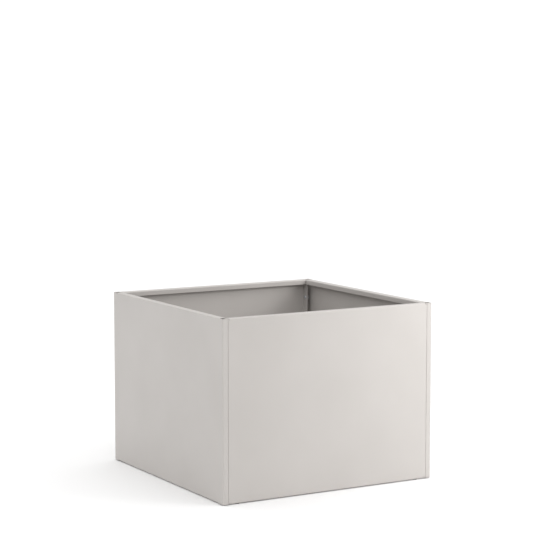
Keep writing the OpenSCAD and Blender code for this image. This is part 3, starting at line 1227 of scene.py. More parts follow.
    def lay_fold(self, shell: Shell, columns: Sequence[float], fold: Fold) -> None:
        """Lays a fold, and the strips of the wall beyond the cuts at its ends.

        Args:
            shell: The mesh to add to.
            columns: Lengths along the plan of the grid's lines.
            fold: The rim with its lip, or the ledge.
        """
        up, wall_h = self.upright, self.sizes.wall_h
        top = up.flat_start(self.face_drop)
        if fold is Fold.RIM:
            edge, half, punches = top + self.relief_w, self.rim_l / 2, []
            rows = merged([v for v in up.breaks() if v < edge], [edge])
            strip = (0.0, self.relief_h)
        else:
            edge, half = top + up.flats[self.face_drop] - self.relief_w, self.ledge_l / 2
            rows, punches = merged([v for v in up.breaks() if v > edge], [edge]), self.foot_punches()
            strip = (wall_h - self.relief_h, wall_h)
        middle = self.column(0)
        inner = [c for c in columns if abs(c - middle) <= half + WELD_DIST]
        shell.sheet(inner, rows, self.folded_point, punches, flip=True)
        reach = half + self.relief_w - WELD_DIST
        for w in BOTH_WAYS:
            outer = [c for c in columns if w * (c - middle) >= reach]
            shell.sheet(outer, strip, self.straight_point, flip=True)

    def foot_punches(self) -> list[Punch]:
        """Lists the foot holes in the ledge.

        Returns:
            The holes, as blocks of the upright section's last flat.
        """
        near = self.upright.flat_start(self.ledge_drop)
        far, cell = near + self.upright.flats[self.ledge_drop], self.foot_cell
        return [
            Punch((self.column(x - cell), near), (self.column(x + cell), far), ((self.foot_hole_r, 0.0),))
            for x in self.hole_xs
        ]

    def straight_point(self, column: float, drop: float) -> Vector:
        """Point of the unfolded wall.

        Args:
            column: Length along the plan.
            drop: Distance below the upper edge.

        Returns:
            The point.
        """
        station, z = self.plan.at(column), self.sizes.wall_h - drop
        x = column - self.column(0)
        inside = abs(x) < self.plan.flats[self.main_flat] / 2
        depth = self.bowed(x, z) if inside else 0.0
        flat = station.point + station.inward * depth
        return Vector((flat.x, flat.y, z))

    def folded_point(self, column: float, row: float) -> Vector:
        """Point of the rim, the lip or the ledge.

        Args:
            column: Length along the plan, on the main face.
            row: Length along the upright section.

        Returns:
            The point.
        """
        station, fold = self.plan.at(column), self.upright.at(row)
        flat = station.point + station.inward * fold.point.x
        return Vector((flat.x, flat.y, fold.point.y))


@dataclass(frozen=True)
class FloorTray(SubAssembly):
    """Floor of the planter: a sheet with a skirt on each side and a dish round each drain.

    Attributes:
        sizes: The shared sizes.
        width: Width of the tray, both ways.
        face_skirt_l: Length of the skirts at the front and the back.
        side_skirt_l: Length of the skirts at the sides.
        drain_r: Radius of the drain holes.
        dish_flat_r: Radius of the dishes' flat bottoms.
        dish_r: Radius of the dishes at the top.
        dish_round: Radius of their bends.
        dish_lead: Width of the ring round a dish.
        dish_bend_steps: Number of steps in which a dish's bend is drawn.
        drain_cell: Half the width of the block of cells round a dish.
        drain_steps: Number of steps round a dish.
        pitch: Distance between the grid's lines.
        edge: Width of the rounding of the sheet's edges.
    """

    sizes: PlanterSizes
    slot: ClassVar[Slot] = Slot.GALVANISED_SHEET
    width: float = 603.0
    face_skirt_l: float = 576.0
    side_skirt_l: float = 569.0
    drain_r: float = 10.0
    dish_flat_r: float = 16.5
    dish_r: float = 22.5
    dish_round: float = 1.6
    dish_lead: float = 3.0
    dish_bend_steps: int = 4
    drain_cell: float = 30.0
    drain_steps: int = 48
    pitch: float = 50.0
    edge: float = 0.25

    @property
    def section(self) -> Section:
        """Section from the foot of one skirt over the floor to the foot of the other.

        Returns:
            The section, of which the middle flat is the floor.
        """
        s = self.sizes
        skirt = s.floor_z - s.ledge_top - s.bend_r
        flats = (skirt, self.width - 2 * s.bend_r, skirt)
        start = (self.width / 2, s.ledge_top)
        return Section(flats, (Turn.LEFT,) * 2, (s.bend_r,) * 2, start, heading=90.0)

    def line(self, place: float) -> float:
        """Length along the section of a place on the floor, counted from its middle."""
        section = self.section
        return section.flat_start(1) + section.flats[1] / 2 - place

    def dish_rings(self) -> tuple[Row, ...]:
        """Rings of the dish from its rim to the hole, with rounded bends.

        Returns:
            The radius and depth of each.
        """
        depth = self.sizes.dish_depth
        corners = [
            (self.dish_r + self.dish_lead, 0.0, 0.0), (self.dish_r, 0.0, self.dish_round),
            (self.dish_flat_r, depth, self.dish_round), (self.drain_r, depth, 0.0),
        ]
        return tuple(rounded_path(corners, self.dish_bend_steps))

    def punch(self, spot: Place, rings: tuple[Row, ...], steps: int) -> Punch:
        """Hole in the floor.

        Args:
            spot: Place of the hole along X and Y, and half the width of its block of cells.
            rings: Radius and depth of its rings.
            steps: Number of steps round it.

        Returns:
            The hole on the tray's grid, which runs the other way than X and Y.
        """
        x, y, cell = spot
        low = (self.line(x + cell), self.line(y + cell))
        return Punch(low, (self.line(x - cell), self.line(y - cell)), rings, steps)

    def shape(self) -> dict[str, bpy.types.Object]:
        """Presses and folds the tray.

        Returns:
            The tray in its place, by its node.
        """
        s, shell = self.sizes, Shell()
        halves = (self.face_skirt_l / 2, self.side_skirt_l / 2)
        drains = [(x, y, self.drain_cell) for x, y in s.drain_places().values()]
        rivets = [(side.value * s.beam_x, y, s.rivet_cell) for side in Side for y in s.rivet_ys]
        punches = [self.punch(spot, self.dish_rings(), self.drain_steps) for spot in drains]
        punches += [self.punch(spot, s.rivet_hole, s.rivet_hole_steps) for spot in rivets]
        flat = self.section.flats[1] / 2
        even = spread(-flat, flat, 1 + round(2 * flat / self.pitch))
        lines = []
        for axis, half in enumerate(halves):
            cells = [spot[axis] + w * spot[2] for spot in (*drains, *rivets) for w in BOTH_WAYS]
            kept = [v for v in even if all(abs(v - c) > s.rivet_cell for c in cells)]
            lines.append(merged(self.section.breaks(), [self.line(v) for v in (*cells, *kept, -half, half)]))
        middle = self.line(0)
        shell.sheet(
            lines[0], lines[1], self.point, punches,
            keep=lambda u, v: abs(u - middle) < halves[0] or abs(v - middle) < halves[1],
        )
        piece = shell.finish("floor_tray", closed=False)
        thicken(piece, s.sheet_t)
        break_edges(piece, self.edge)
        return {"floor_pan": piece}

    def point(self, u: float, v: float) -> Vector:
        """Point of the tray's top face, by the lengths across it and from back to front."""
        across, along = self.section.at(u).point, self.section.at(v).point
        return Vector((across.x, along.x, across.y + along.y - self.sizes.floor_z))


@dataclass(frozen=True)
class FloorBeam(SubAssembly):
    """Hat-section beam under the floor, which stands on the front and the back ledge.

    Attributes:
        side: Side of the planter that it is on.
        sizes: The shared sizes.
        crown_w: Width of the hat's crown.
        foot_w: Width of its two feet.
        edge: Width of the rounding of the sheet's edges.
    """

    side: Side
    sizes: PlanterSizes
    slot: ClassVar[Slot] = Slot.GALVANISED_SHEET
    crown_flat: ClassVar[int] = 2
    crown_w: float = 44.0
    foot_w: float = 16.0
    edge: float = 0.25

    @property
    def section(self) -> Section:
        """Section of the hat, seen from the front, on its lower face.

        Returns:
            The section from its left foot to its right one.
        """
        s = self.sizes
        foot = self.foot_w + s.sheet_t - s.bend_r
        web = s.floor_z - s.sheet_t - s.ledge_top - 2 * s.bend_r
        crown = self.crown_w - 2 * s.bend_r
        start = (self.side.value * s.beam_x - self.crown_w / 2 - self.foot_w, s.ledge_top)
        turns = (Turn.LEFT, Turn.RIGHT, Turn.RIGHT, Turn.LEFT)
        return Section((foot, web, crown, web, foot), turns, (s.bend_r,) * 4, start, heading=0.0)

    def shape(self) -> dict[str, bpy.types.Object]:
        """Folds the beam.

        Returns:
            The beam in its place, by its node.
        """
        s, shell, section = self.sizes, Shell(), self.section
        end, cell = s.beam_l / 2, s.rivet_cell
        rows = merged([-end, end], [-y + w * cell for y in s.rivet_ys for w in BOTH_WAYS])
        crown = section.flat_start(self.crown_flat)
        far = crown + section.flats[self.crown_flat]
        punches = [
            Punch((crown, -y - cell), (far, -y + cell), s.rivet_hole, s.rivet_hole_steps) for y in s.rivet_ys
        ]
        shell.sheet(section.breaks(), rows, self.point, punches)
        label = self.side.name.lower()
        piece = shell.finish(f"{label}_hat_beam", closed=False)
        thicken(piece, s.sheet_t)
        break_edges(piece, self.edge)
        return {f"floor_beam_{label}": piece}

    def point(self, column: float, row: float) -> Vector:
        """Point of the hat's lower face, by the length across it and the distance to the front."""
        flat = self.section.at(column).point
        return Vector((flat.x, -row, flat.y))


def rounded_path(corners: Sequence[tuple[float, float, float]], steps: int) -> list[Row]:
    """Line through corners, each rounded by its own radius.

    Args:
        corners: The two coordinates of each corner and the radius of its rounding.
        steps: Number of steps in each rounding.

    Returns:
        The line's points.
    """
    points: list[Row] = [corners[0][:2]]
    for before, corner, after in zip(corners, corners[1:], corners[2:]):
        here = Vector(corner[:2])
        back, ahead = Vector(before[:2]) - here, Vector(after[:2]) - here
        if corner[2] <= 0:
            points.append((here.x, here.y))
            continue
        half = back.angle(ahead) / 2
        reach = corner[2] / math.tan(half)
        middle = here + (back.normalized() + ahead.normalized()).normalized() * corner[2] / math.sin(half)
        first = here + back.normalized() * reach - middle
        last = here + ahead.normalized() * reach - middle
        turn = first.angle_signed(last)
        for k in range(steps + 1):
            spun = Matrix.Rotation(-turn * k / steps, 2) @ first
            points.append(tuple(middle + spun))
    points.append(corners[-1][:2])
    return points


def ring(radius: float | Callable[[float], float], z: float, steps: int) -> list[Vector]:
    """One ring of points round the Z axis.

    Args:
        radius: The radius, or a function that gives it for an angle.
        z: Height of the ring.
        steps: Number of points.

    Returns:
        The points, anticlockwise seen from above.
    """
    angles = [2 * math.pi * k / steps for k in range(steps)]
    radii = [radius(a) if callable(radius) else radius for a in angles]
    return [Vector((r * math.cos(a), r * math.sin(a), z)) for r, a in zip(radii, angles)]


def hexagon(apothem: float) -> Callable[[float], float]:
    """Radius of a hexagon as a function of the angle, with a corner at angle 0."""
    return lambda angle: apothem / math.cos((angle + math.pi / 6) % (math.pi / 3) - math.pi / 6)


@dataclass(frozen=True)
class SeamFasteners(SubAssembly):
    """Button-head bolts of one seam, and their flange nuts in the corner pocket.

    In its own frame a fastener lies on Z, with the seam's middle plane on z = 0 and its nut on +Z.

    Attributes:
        corner: The planter's corner by the seam.
        sizes: The shared sizes.
        thread_r: Radius of the thread.
        pitch: Pitch of the thread.
        thread_depth: Depth of the thread.
        flank: Height of a thread's crest before it is cut off, and how steeply its flanks fall.
        thread_ends: Distance of the thread from the seat, and from the tip's end.
        rings_per_mm: Number of rings in a millimetre of thread.
        head_r: Radius of the button head.
        head_h: Height of the head.
        dome_rs: Radii of the dome's rings.
        rim: Rings of the head's edge and underside: radius, and distance from the seat.
        neck: Rings between the head and the thread: radius, and distance from the seat.
        socket_apothem: Half the width of the hexagon socket over its flats.
        socket_depth: Depth of the socket.
        socket_pit: Rings of the drilled pit in its floor: radius and depth.
        mouth_rs: Radii of the dome at the lower and the upper ring of the socket's mouth.
        mouth_bevel: Depth and width of the bevel there.
        tip_z: Height of the bolt's tip.
        tip_chamfer: Height of the tip's chamfer.
        tip_rs: Radii of the rings that close the tip.
        nut_h: Height of the nut.
        nut_apothem: Half the width of the nut over its flats.
        nut_flange: Radius of the nut's flange, its thickness, and how steeply it falls to its edge.
        nut_chamfer: Width of the nut's upper face as a share, and the steepness of its chamfer.
        nut_seat: Rings of its seat: radius and height.
        nut_heights: Heights of the rings on its outside.
        nut_top: Rings of its upper face and bore: radius and depth.
        nut_bore: Radius of the bore, and height of the bevel at its lower end.
        steps: Number of points in a ring.
        sharp_over: Angle in degrees past which an edge is shaded sharp.
    """

    corner: Corner
    sizes: PlanterSizes
    slot: ClassVar[Slot] = Slot.ZINC_PLATE
    thread_r: float = 3.0
    pitch: float = 1.0
    thread_depth: float = 0.55
    flank: Row = (1.25, 2.9)
    thread_ends: Row = (1.0, 0.05)
    rings_per_mm: int = 6
    head_r: float = 5.25
    head_h: float = 3.3
    dome_rs: tuple[float, ...] = (2.9, 3.4, 3.9, 4.3, 4.7, 5.0, 5.18)
    rim: tuple[Row, ...] = ((5.25, 0.3), (5.25, 0.12), (5.12, 0.0), (3.4, 0.0))
    neck: tuple[Row, ...] = ((3.0, 0.12), (2.7, 0.5), (2.45, 0.9))
    socket_apothem: float = 2.0
    socket_depth: float = 2.1
    socket_pit: tuple[Row, ...] = ((0.25, 0.5), (1.5, 0.12))
    mouth_rs: Row = (2.4, 2.5)
    mouth_bevel: Row = (0.25, 0.22)
    tip_z: float = 8.7
    tip_chamfer: float = 0.7
    tip_rs: Row = (2.1, 0.3)
    nut_h: float = 6.2
    nut_apothem: float = 4.99
    nut_flange: Place = (6.15, 0.7, 2.1)
    nut_chamfer: Row = (0.97, 1.73)
    nut_seat: tuple[Row, ...] = ((3.5, 0.0), (5.9, 0.0), (6.1, 0.12))
    nut_heights: tuple[float, ...] = (
        0.3, 0.6, 0.75, 0.9, 1.05, 1.2, 1.35, 3.3, 5.2, 5.5, 5.65, 5.8, 5.95, 6.08, 6.16, 6.2
    )
    nut_top: tuple[Row, ...] = ((4.4, 0.0), (3.55, 0.0), (3.05, 0.45))
    nut_bore: Row = (3.05, 0.4)
    steps: int = 36
    sharp_over: float = 38.0

    def places(self) -> list[Matrix]:
        """Where the seam's fasteners sit, with their nut ends pointing out to the side.

        Returns:
            The place of each.
        """
        s, (x, y) = self.sizes, self.corner.value
        turn = Matrix.Rotation(x * QUARTER, 4, "Y")
        return [
            Matrix.Translation((x * s.seam_x, y * (s.half - s.seam_bolt_d), z)) @ turn for z in s.bolt_heights
        ]

    def thread(self, z: float) -> Callable[[float], float]:
        """Outline of the thread at a height.

        Args:
            z: The height.

        Returns:
            A function that gives the radius for an angle.
        """
        taper = min(0.0, self.tip_z - self.tip_chamfer - z)
        crest, fall = self.flank

        def radius(angle: float) -> float:
            """Radius of the thread there.

            Args:
                angle: The angle in radians.

            Returns:
                The radius.
            """
            phase = (z / self.pitch - angle / (2 * math.pi)) % 1.0
            share = min(1.0, max(0.0, crest - fall * abs(phase - 0.5)))
            return min(self.thread_r - self.thread_depth * (1 - share), self.thread_r + taper)

        return radius

    def bolt_rings(self) -> list[list[Vector]]:
        """Rings of one bolt from the bottom of its socket to its tip.

        Returns:
            The rings in order.
        """
        seat, n = -self.sizes.sheet_t, self.steps
        dome = (self.head_r**2 + self.head_h**2) / (2 * self.head_h)

        def dome_z(radius: float) -> float:
            """Height of the domed head at a radius."""
            return seat - (math.sqrt(dome**2 - radius**2) - (dome - self.head_h))

        floor = seat - self.head_h + self.socket_depth
        socket = hexagon(self.socket_apothem)
        (low_r, high_r), (bevel_d, bevel_w) = self.mouth_rs, self.mouth_bevel
        rings = [ring(r, floor + depth, n) for r, depth in self.socket_pit]
        rings += [ring(socket, z, n) for z in (floor, dome_z(low_r) + bevel_d)]
        rings.append(ring(hexagon(self.socket_apothem + bevel_w), dome_z(high_r), n))
        rings += [ring(r, dome_z(r), n) for r in self.dome_rs]
        rings += [ring(r, seat - lift, n) for r, lift in self.rim]
        rings += [ring(r, seat + rise, n) for r, rise in self.neck]
        start, stop = seat + self.thread_ends[0], self.tip_z - self.thread_ends[1]
        heights = spread(start, stop, 1 + round((stop - start) * self.rings_per_mm))
        rings += [ring(self.thread(z), z, n) for z in heights]
        rings += [ring(r, self.tip_z, n) for r in self.tip_rs]
        return rings

    def nut_rings(self) -> list[list[Vector]]:
        """Rings of one nut from the edge of its bore, over the outside and back through the bore.

        Returns:
            The rings in order, the last in the place of the first.
        """
        low, n = self.sizes.sheet_t, self.steps
        body = hexagon(self.nut_apothem)
        flange_r, flange_t, fall = self.nut_flange
        top_share, steepness = self.nut_chamfer

        def outside(h: float) -> Callable[[float], float]:
            """Outline of the nut at a height.

            Args:
                h: Height over the nut's seat.

            Returns:
                A function that gives the radius for an angle.
            """
            cone = flange_r - max(0.0, h - flange_t) * fall
            top = self.nut_apothem * top_share + (self.nut_h - h) * steepness
            return lambda angle: max(min(body(angle), top), cone)

        bore = ring(self.nut_bore[0], low + self.nut_bore[1], n)
        rings = [bore, *(ring(r, low + h, n) for r, h in self.nut_seat)]
        rings += [ring(outside(h), low + h, n) for h in self.nut_heights]
        rings += [ring(r, low + self.nut_h - depth, n) for r, depth in self.nut_top]
        return [*rings, bore]

    def shape(self) -> dict[str, bpy.types.Object]:
        """Turns and threads the seam's bolts and nuts.

        Returns:
            The bolts and the nuts in their places, by their nodes.
        """
        made = {}
        for kind, name, rings, capped in (
            ("seam_bolts", "button_head_bolts", self.bolt_rings(), True),
            ("seam_nuts", "flange_nuts", self.nut_rings(), False),
        ):
            shell = Shell()
            for place in self.places():
                shell.rings([[place @ point for point in loop] for loop in rings], capped)
            piece = shell.finish(f"{name}_{self.corner.label}")
            piece.data.set_sharp_from_angle(angle=math.radians(self.sharp_over))
            made[f"{kind}_{self.corner.label}"] = piece
        return made


@dataclass(frozen=True)
class RivetRow(SubAssembly):
    """Blind rivets that hold the floor to one beam.

    Attributes:
        side: Side of the beam.
        sizes: The shared sizes.
        head_r: Radius of the domed head.
        head_h: Height of the head.
        dome_rs: Radii of the dome's rings.
        mandrel: Rings of the broken mandrel in the head: radius, and depth below the head's top.
        mouth: Ring between the mandrel and the dome: radius, and depth below the dome's first ring.
        rim: Width and height of the bevel at the head's rim.
        shank_r: Radius of the shank.
        grip: Thickness of the floor and the beam together.
        bulb: Corners of the bulb under them: radius, depth and rounding.
        bend_steps: Number of steps in which a rounding is drawn.
        steps: Number of points in a ring.
        sharp_over: Angle in degrees past which an edge is shaded sharp.
    """

    side: Side
    sizes: PlanterSizes
    slot: ClassVar[Slot] = Slot.ZINC_PLATE
    head_r: float = 4.0
    head_h: float = 1.6
    dome_rs: tuple[float, ...] = (1.4, 2.1, 2.8, 3.4, 3.85)
    mandrel: tuple[Row, ...] = ((0.15, 0.75), (0.95, 0.7), (1.05, 0.9))
    mouth: Row = (1.2, 0.1)
    rim: Row = (0.1, 0.06)
    shank_r: float = 2.0
    grip: float = 3.0
    bulb: tuple[Place, ...] = ((3.2, 0.0, 0.3), (2.5, 1.9, 0.8), (1.9, 2.8, 0.35), (0.15, 2.8, 0.0))
    bend_steps: int = 3
    steps: int = 28
    sharp_over: float = 40.0

    def profile(self) -> list[Row]:
        """Outline of one rivet from the broken mandrel in its head to the bulb's end.

        Returns:
            The radius and height of each ring.
        """
        dome = (self.head_r**2 + self.head_h**2) / (2 * self.head_h)
        crown = [(r, math.sqrt(dome**2 - r**2) - dome + self.head_h) for r in self.dome_rs]
        pit = [(r, self.head_h - depth) for r, depth in self.mandrel]
        (mouth_r, sunk), (bevel_w, bevel_h), under = self.mouth, self.rim, -self.grip
        head = [*pit, (mouth_r, crown[0][1] - sunk), *crown, (self.head_r, bevel_h)]
        corners = [(self.head_r - bevel_w, 0.0, 0.0), (self.shank_r, 0.0, 0.0), (self.shank_r, under, 0.0)]
        corners += [(r, under - depth, bend) for r, depth, bend in self.bulb]
        return [*head, *rounded_path(corners, self.bend_steps)]

    def shape(self) -> dict[str, bpy.types.Object]:
        """Turns the row.

        Returns:
            The rivets in their places, by their node.
        """
        s, shell = self.sizes, Shell()
        for y in s.rivet_ys:
            place = Matrix.Translation((self.side.value * s.beam_x, y, s.floor_z))
            shell.rings([[place @ p for p in ring(r, z, self.steps)] for r, z in self.profile()])
        label = self.side.name.lower()
        piece = shell.finish(f"blind_rivets_{label}")
        piece.data.set_sharp_from_angle(angle=math.radians(self.sharp_over))
        return {f"floor_rivets_{label}": piece}


@dataclass(frozen=True)
class RubberFoot(SubAssembly):
    """Rubber foot pushed up through a ledge: pad, neck and barb in one piece.

    Attributes:
        corner: The planter's corner that it stands under.
        sizes: The shared sizes.
        sole: Corners of the sole with its groove ring: radius, height and rounding.
        pad: Corners of the pad's top, where the neck starts: radius, height over it and rounding.
        barb: Corners of the barb: radius, height over the ledge and rounding.
        bend_steps: Number of steps in which a rounding is drawn.
        steps: Number of points in a ring.
        sharp_over: Angle in degrees past which an edge is shaded sharp.
    """

    corner: Corner
    sizes: PlanterSizes
    slot: ClassVar[Slot] = Slot.BLACK_RUBBER
    sole: tuple[Place, ...] = (
        (0.3, 0.0, 0.0), (6.4, 0.0, 0.2), (6.8, 0.4, 0.15), (7.3, 0.4, 0.15), (7.7, 0.0, 0.2),
        (9.3, 0.0, 0.5), (10.0, 0.9, 0.4),
    )
    pad: tuple[Place, ...] = ((10.0, 0.0, 0.25), (4.0, 0.0, 0.15))
    barb: tuple[Place, ...] = (
        (4.0, 0.0, 0.15), (5.6, 0.0, 0.3), (5.5, 1.0, 0.5), (3.0, 6.0, 0.7), (0.3, 6.0, 0.0)
    )
    bend_steps: int = 3
    steps: int = 48
    sharp_over: float = 50.0

    def profile(self) -> list[Row]:
        """Outline of the foot from the middle of its sole to its tip.

        Returns:
            The radius and height of each ring.
        """
        parts = ((self.sole, 0.0), (self.pad, self.sizes.foot_h), (self.barb, self.sizes.ledge_top))
        corners = [(r, low + height, bend) for part, low in parts for r, height, bend in part]
        return rounded_path(corners, self.bend_steps)

    def shape(self) -> dict[str, bpy.types.Object]:
        """Turns the foot.

        Returns:
            The foot in its place, by its node.
        """
        s, shell = self.sizes, Shell()
        x, y = self.corner.value
        shell.rings([ring(r, z, self.steps) for r, z in self.profile()])
        place = Matrix.Translation((x * s.foot_x, y * (s.half - s.foot_d), 0))
        piece = shell.finish(f"rubber_foot_{self.corner.label}", place)
        piece.data.set_sharp_from_angle(angle=math.radians(self.sharp_over))
        return {f"foot_{self.corner.label}": piece}


@dataclass(frozen=True)
class DrainBung(SubAssembly):
    """Moulded bung with a ribbed stem, a head that fills the dish and a tab to pull it by.

    It is drawn as a cage round the Z axis, with z = 0 on the head's seat, and subdivided.

    Attributes:
        label: Name of the drain that it closes.
        x: Place of the drain from left to right.
        y: Place of the drain from front to back.
        sizes: The shared sizes.
        head_r: Radius of the head.
        stem_r: Radius of the stem at its root.
        tip_r: Radius of the stem at its tip.
        stem_l: Length of the stem.
        edge: Reach of the soft edge at the stem's tip.
        edge_mid: Ring in the middle of that edge: distance in from the side, and height.
        sole_r: Radius of the flat in the middle of the tip.
        ribs: Number of ribs round the stem.
        rib_h: Height of a rib.
        rib_shares: Half the width of a rib's foot and of its top, as shares of the ribs' pitch.
        neck_gap: Height over the hole's lower edge at which the neck is full.
        root: Rings at the stem's root: radius over the stem's, and height.
        collar: Radius and height of the ring where the head's underside starts.
        under_head: Rings of its underside: distance in from the head's edge, and height.
        over_head: Rings of its top with a groove: distance in from the edge, and drop from the top.
        collar_r: Radius in which the flat of the top ends, round the tab.
        tab_h: Height of the tab.
        tab_half_w: Half its width.
        tab_half_t: Half its thickness.
        tab_corner_r: Radius of its upper corners.
        tab_flare: Steps from the round to the tab's foot: share of the way, and room round the foot.
        tab_fillet: Room of the last ring round the foot, along and across, and its height.
        tab_heights: Heights of the tab's rings over the head.
        tab_end: Height at which the last ring's width is taken, and how much thinner it is.
        hole_r: Radius of the hole in the tab.
        hole_flare: How much wider the cage is at the hole's mouths, and inside it.
        hole_lip: Depth of the cage's rings inside the hole.
        hole_row: Which of the tab's rings is at the hole's foot.
        hole_point: Which point of a ring is at the hole's right side.
        end_points: Number of points from the middle of a short end to its corner.
        long_side: Places of the points along half a long side, from its corner to its middle.
        steps: Number of points in a ring, to which the last four belong.
    """

    label: str
    x: float
    y: float
    sizes: PlanterSizes
    slot: ClassVar[Slot] = Slot.BLACK_RUBBER
    head_r: float = 15.0
    stem_r: float = 9.9
    tip_r: float = 8.6
    stem_l: float = 12.0
    edge: float = 0.8
    edge_mid: Row = (0.3, 0.1)
    sole_r: float = 2.0
    ribs: int = 3
    rib_h: float = 0.6
    rib_shares: Row = (0.3, 0.15)
    neck_gap: float = 0.1
    root: tuple[Row, ...] = ((-0.02, -0.45), (-0.02, -0.1), (0.05, 0.06))
    collar: Row = (10.4, 0.05)
    under_head: tuple[Row, ...] = ((1.2, 0.03), (0.2, 0.12), (0.0, 0.8))
    over_head: tuple[Row, ...] = (
        (0.0, 0.8), (0.25, 0.15), (1.0, 0.0), (2.0, 0.0), (2.4, 0.35), (3.3, 0.35), (3.7, 0.0)
    )
    collar_r: float = 10.4
    tab_h: float = 10.0
    tab_half_w: float = 8.0
    tab_half_t: float = 2.0
    tab_corner_r: float = 3.0
    tab_flare: tuple[Row, ...] = ((0.0, 0.0), (0.55, 0.6), (1.0, 1.1))
    tab_fillet: Place = (0.35, 0.3, 0.12)
    tab_heights: tuple[float, ...] = (0.45, 1.2, 2.0, 3.4, 5.0, 6.6, 8.0, 8.9, 9.6)
    tab_end: Row = (9.9, 0.5)
    hole_r: float = 2.0
    hole_flare: Row = (0.45, 0.05)
    hole_lip: float = 0.3
    hole_row: int = 2
    hole_point: int = 6
    end_points: int = 2
    long_side: tuple[float, ...] = (8.0, 7.0, 5.6, 4.2, 3.0, 1.5, 0.0)
    steps: int = 32

    def footprint(self, half_w: float, half_t: float) -> list[Row]:
        """Points of the tab's outline seen from above, from the middle of its right end.

        Args:
            half_w: Half the outline's width.
            half_t: Half its thickness.

        Returns:
            As many points as a ring has.
        """
        hole_side = self.long_side[self.hole_point - self.end_points]
        stretch = (half_w - hole_side) / (self.tab_half_w - hole_side)
        xs = [x if x <= hole_side else hole_side + (x - hole_side) * stretch for x in self.long_side]
        end = [(half_w, half_t * i / self.end_points) for i in range(self.end_points)]
        quarter = end + [(x, half_t) for x in xs]
        half = quarter[:-1] + [(-x, y) for x, y in reversed(quarter)][:-1]
        return half + [(-x, -y) for x, y in half]

    def tab_half_at(self, z: float) -> float:
        """Half the tab's width, which is less where its corners are round.

        Args:
            z: Height over the head.

        Returns:
            Half the width there.
        """
        start = self.tab_h - self.tab_corner_r
        if z <= start:
            return self.tab_half_w
        return self.tab_half_w - self.tab_corner_r + math.sqrt(self.tab_corner_r**2 - (z - start) ** 2)

    def stem_rings(self) -> list[Row]:
        """Rings from the tip of the stem to the head's top.

        Returns:
            The radius and height of each.
        """
        slope = (self.stem_r - self.tip_r) / self.stem_l
        tip, low, top = self.tip_r - self.rib_h, -self.stem_l, self.sizes.dish_depth
        mid_in, mid_up = self.edge_mid
        rings = [(self.sole_r, low), (tip - 2 * self.edge, low), (tip - mid_in, low + mid_up)]
        rings.append((tip, low + self.edge))
        under = -self.sizes.floor_t
        pitch = (self.stem_l - self.sizes.floor_t - self.edge) / self.ribs
        half_foot, half_top = (share * pitch for share in self.rib_shares)
        for i in reversed(range(self.ribs)):
            z = under - (i + 0.5) * pitch
            for step, sunk in ((-half_foot, 1), (-half_top, 0), (half_top, 0), (half_foot, 1)):
                rings.append((self.stem_r + slope * (z + step) - sunk * self.rib_h, z + step))
        neck = self.stem_r + slope * under
        rings += [(neck - self.rib_h, under - half_top), (neck, under + self.neck_gap)]
        rings += [(self.stem_r + over, z) for over, z in self.root]
        rings.append(self.collar)
        rings += [(self.head_r - inset, z) for inset, z in self.under_head]
        rings += [(self.head_r - inset, top - drop) for inset, drop in self.over_head]
        return rings

    def tab_rings(self) -> list[list[Vector]]:
        """Rings from the flat round the tab over its foot to its top.

        Returns:
            The rings, of which those of the tab itself are the last ones.
        """
        top = self.sizes.dish_depth
        rings = []
        for share, room in self.tab_flare:
            wide = self.footprint(self.tab_half_w + room, self.tab_half_t + room)
            rings.append([
                Vector((p.x * (1 - share) + q[0] * share, p.y * (1 - share) + q[1] * share, top))
                for p, q in zip(ring(self.collar_r, top, self.steps), wide)
            ])
        along, across, rise = self.tab_fillet
        end_z, thinner = self.tab_end
        outlines = [(self.tab_half_w + along, self.tab_half_t + across, rise)]
        outlines += [(self.tab_half_at(z), self.tab_half_t, z) for z in self.tab_heights]
        outlines.append((self.tab_half_at(end_z), self.tab_half_t - thinner, self.tab_h))
        for half_w, half_t, z in outlines:
            rings.append([Vector((x, y, top + z)) for x, y in self.footprint(half_w, half_t)])
        return rings

    def shape(self) -> dict[str, bpy.types.Object]:
        """Moulds the bung.

        Returns:
            The bung in its place, by its node.
        """
        shell, n = Shell(), self.steps
        tight = (4 + 2 * math.cos(2 * math.pi / n)) / 6  # share to which subdivision draws a ring in
        rings = [ring(r / tight, z, n) for r, z in self.stem_rings()] + self.tab_rings()
        first_tab = len(rings) - len(self.tab_heights) - 1
        self.skin(shell, rings, first_tab + self.hole_row)
        place = Matrix.Translation((self.x, self.y, self.sizes.floor_z - self.sizes.dish_depth))
        piece = shell.finish(f"drain_bung_{self.label}", place)
        smooth = piece.modifiers.new("moulded_roundness", "SUBSURF")
        smooth.levels = smooth.render_levels = 2
        return {f"drain_plug_{self.label}": piece}

    def hole_border(self, low: int, points: Sequence[int]) -> list[tuple[int, int]]:
        """Finds the cage's points round one mouth of the hole.

        Args:
            low: Index of the ring at the hole's foot.
            points: Indexes in a ring of the points across the hole, from its right side to its left.

        Returns:
            Ring and point of each, from the middle of the right side upwards and round.
        """
        right, left, high = points[0], points[-1], low + len(points) - 1
        border = [(row, right) for row in range(low, high)] + [(high, k) for k in points[:-1]]
        border += [(row, left) for row in range(high, low, -1)] + [(low, k) for k in reversed(points[1:])]
        middle = (high - low) // 2
        return border[middle:] + border[:middle]

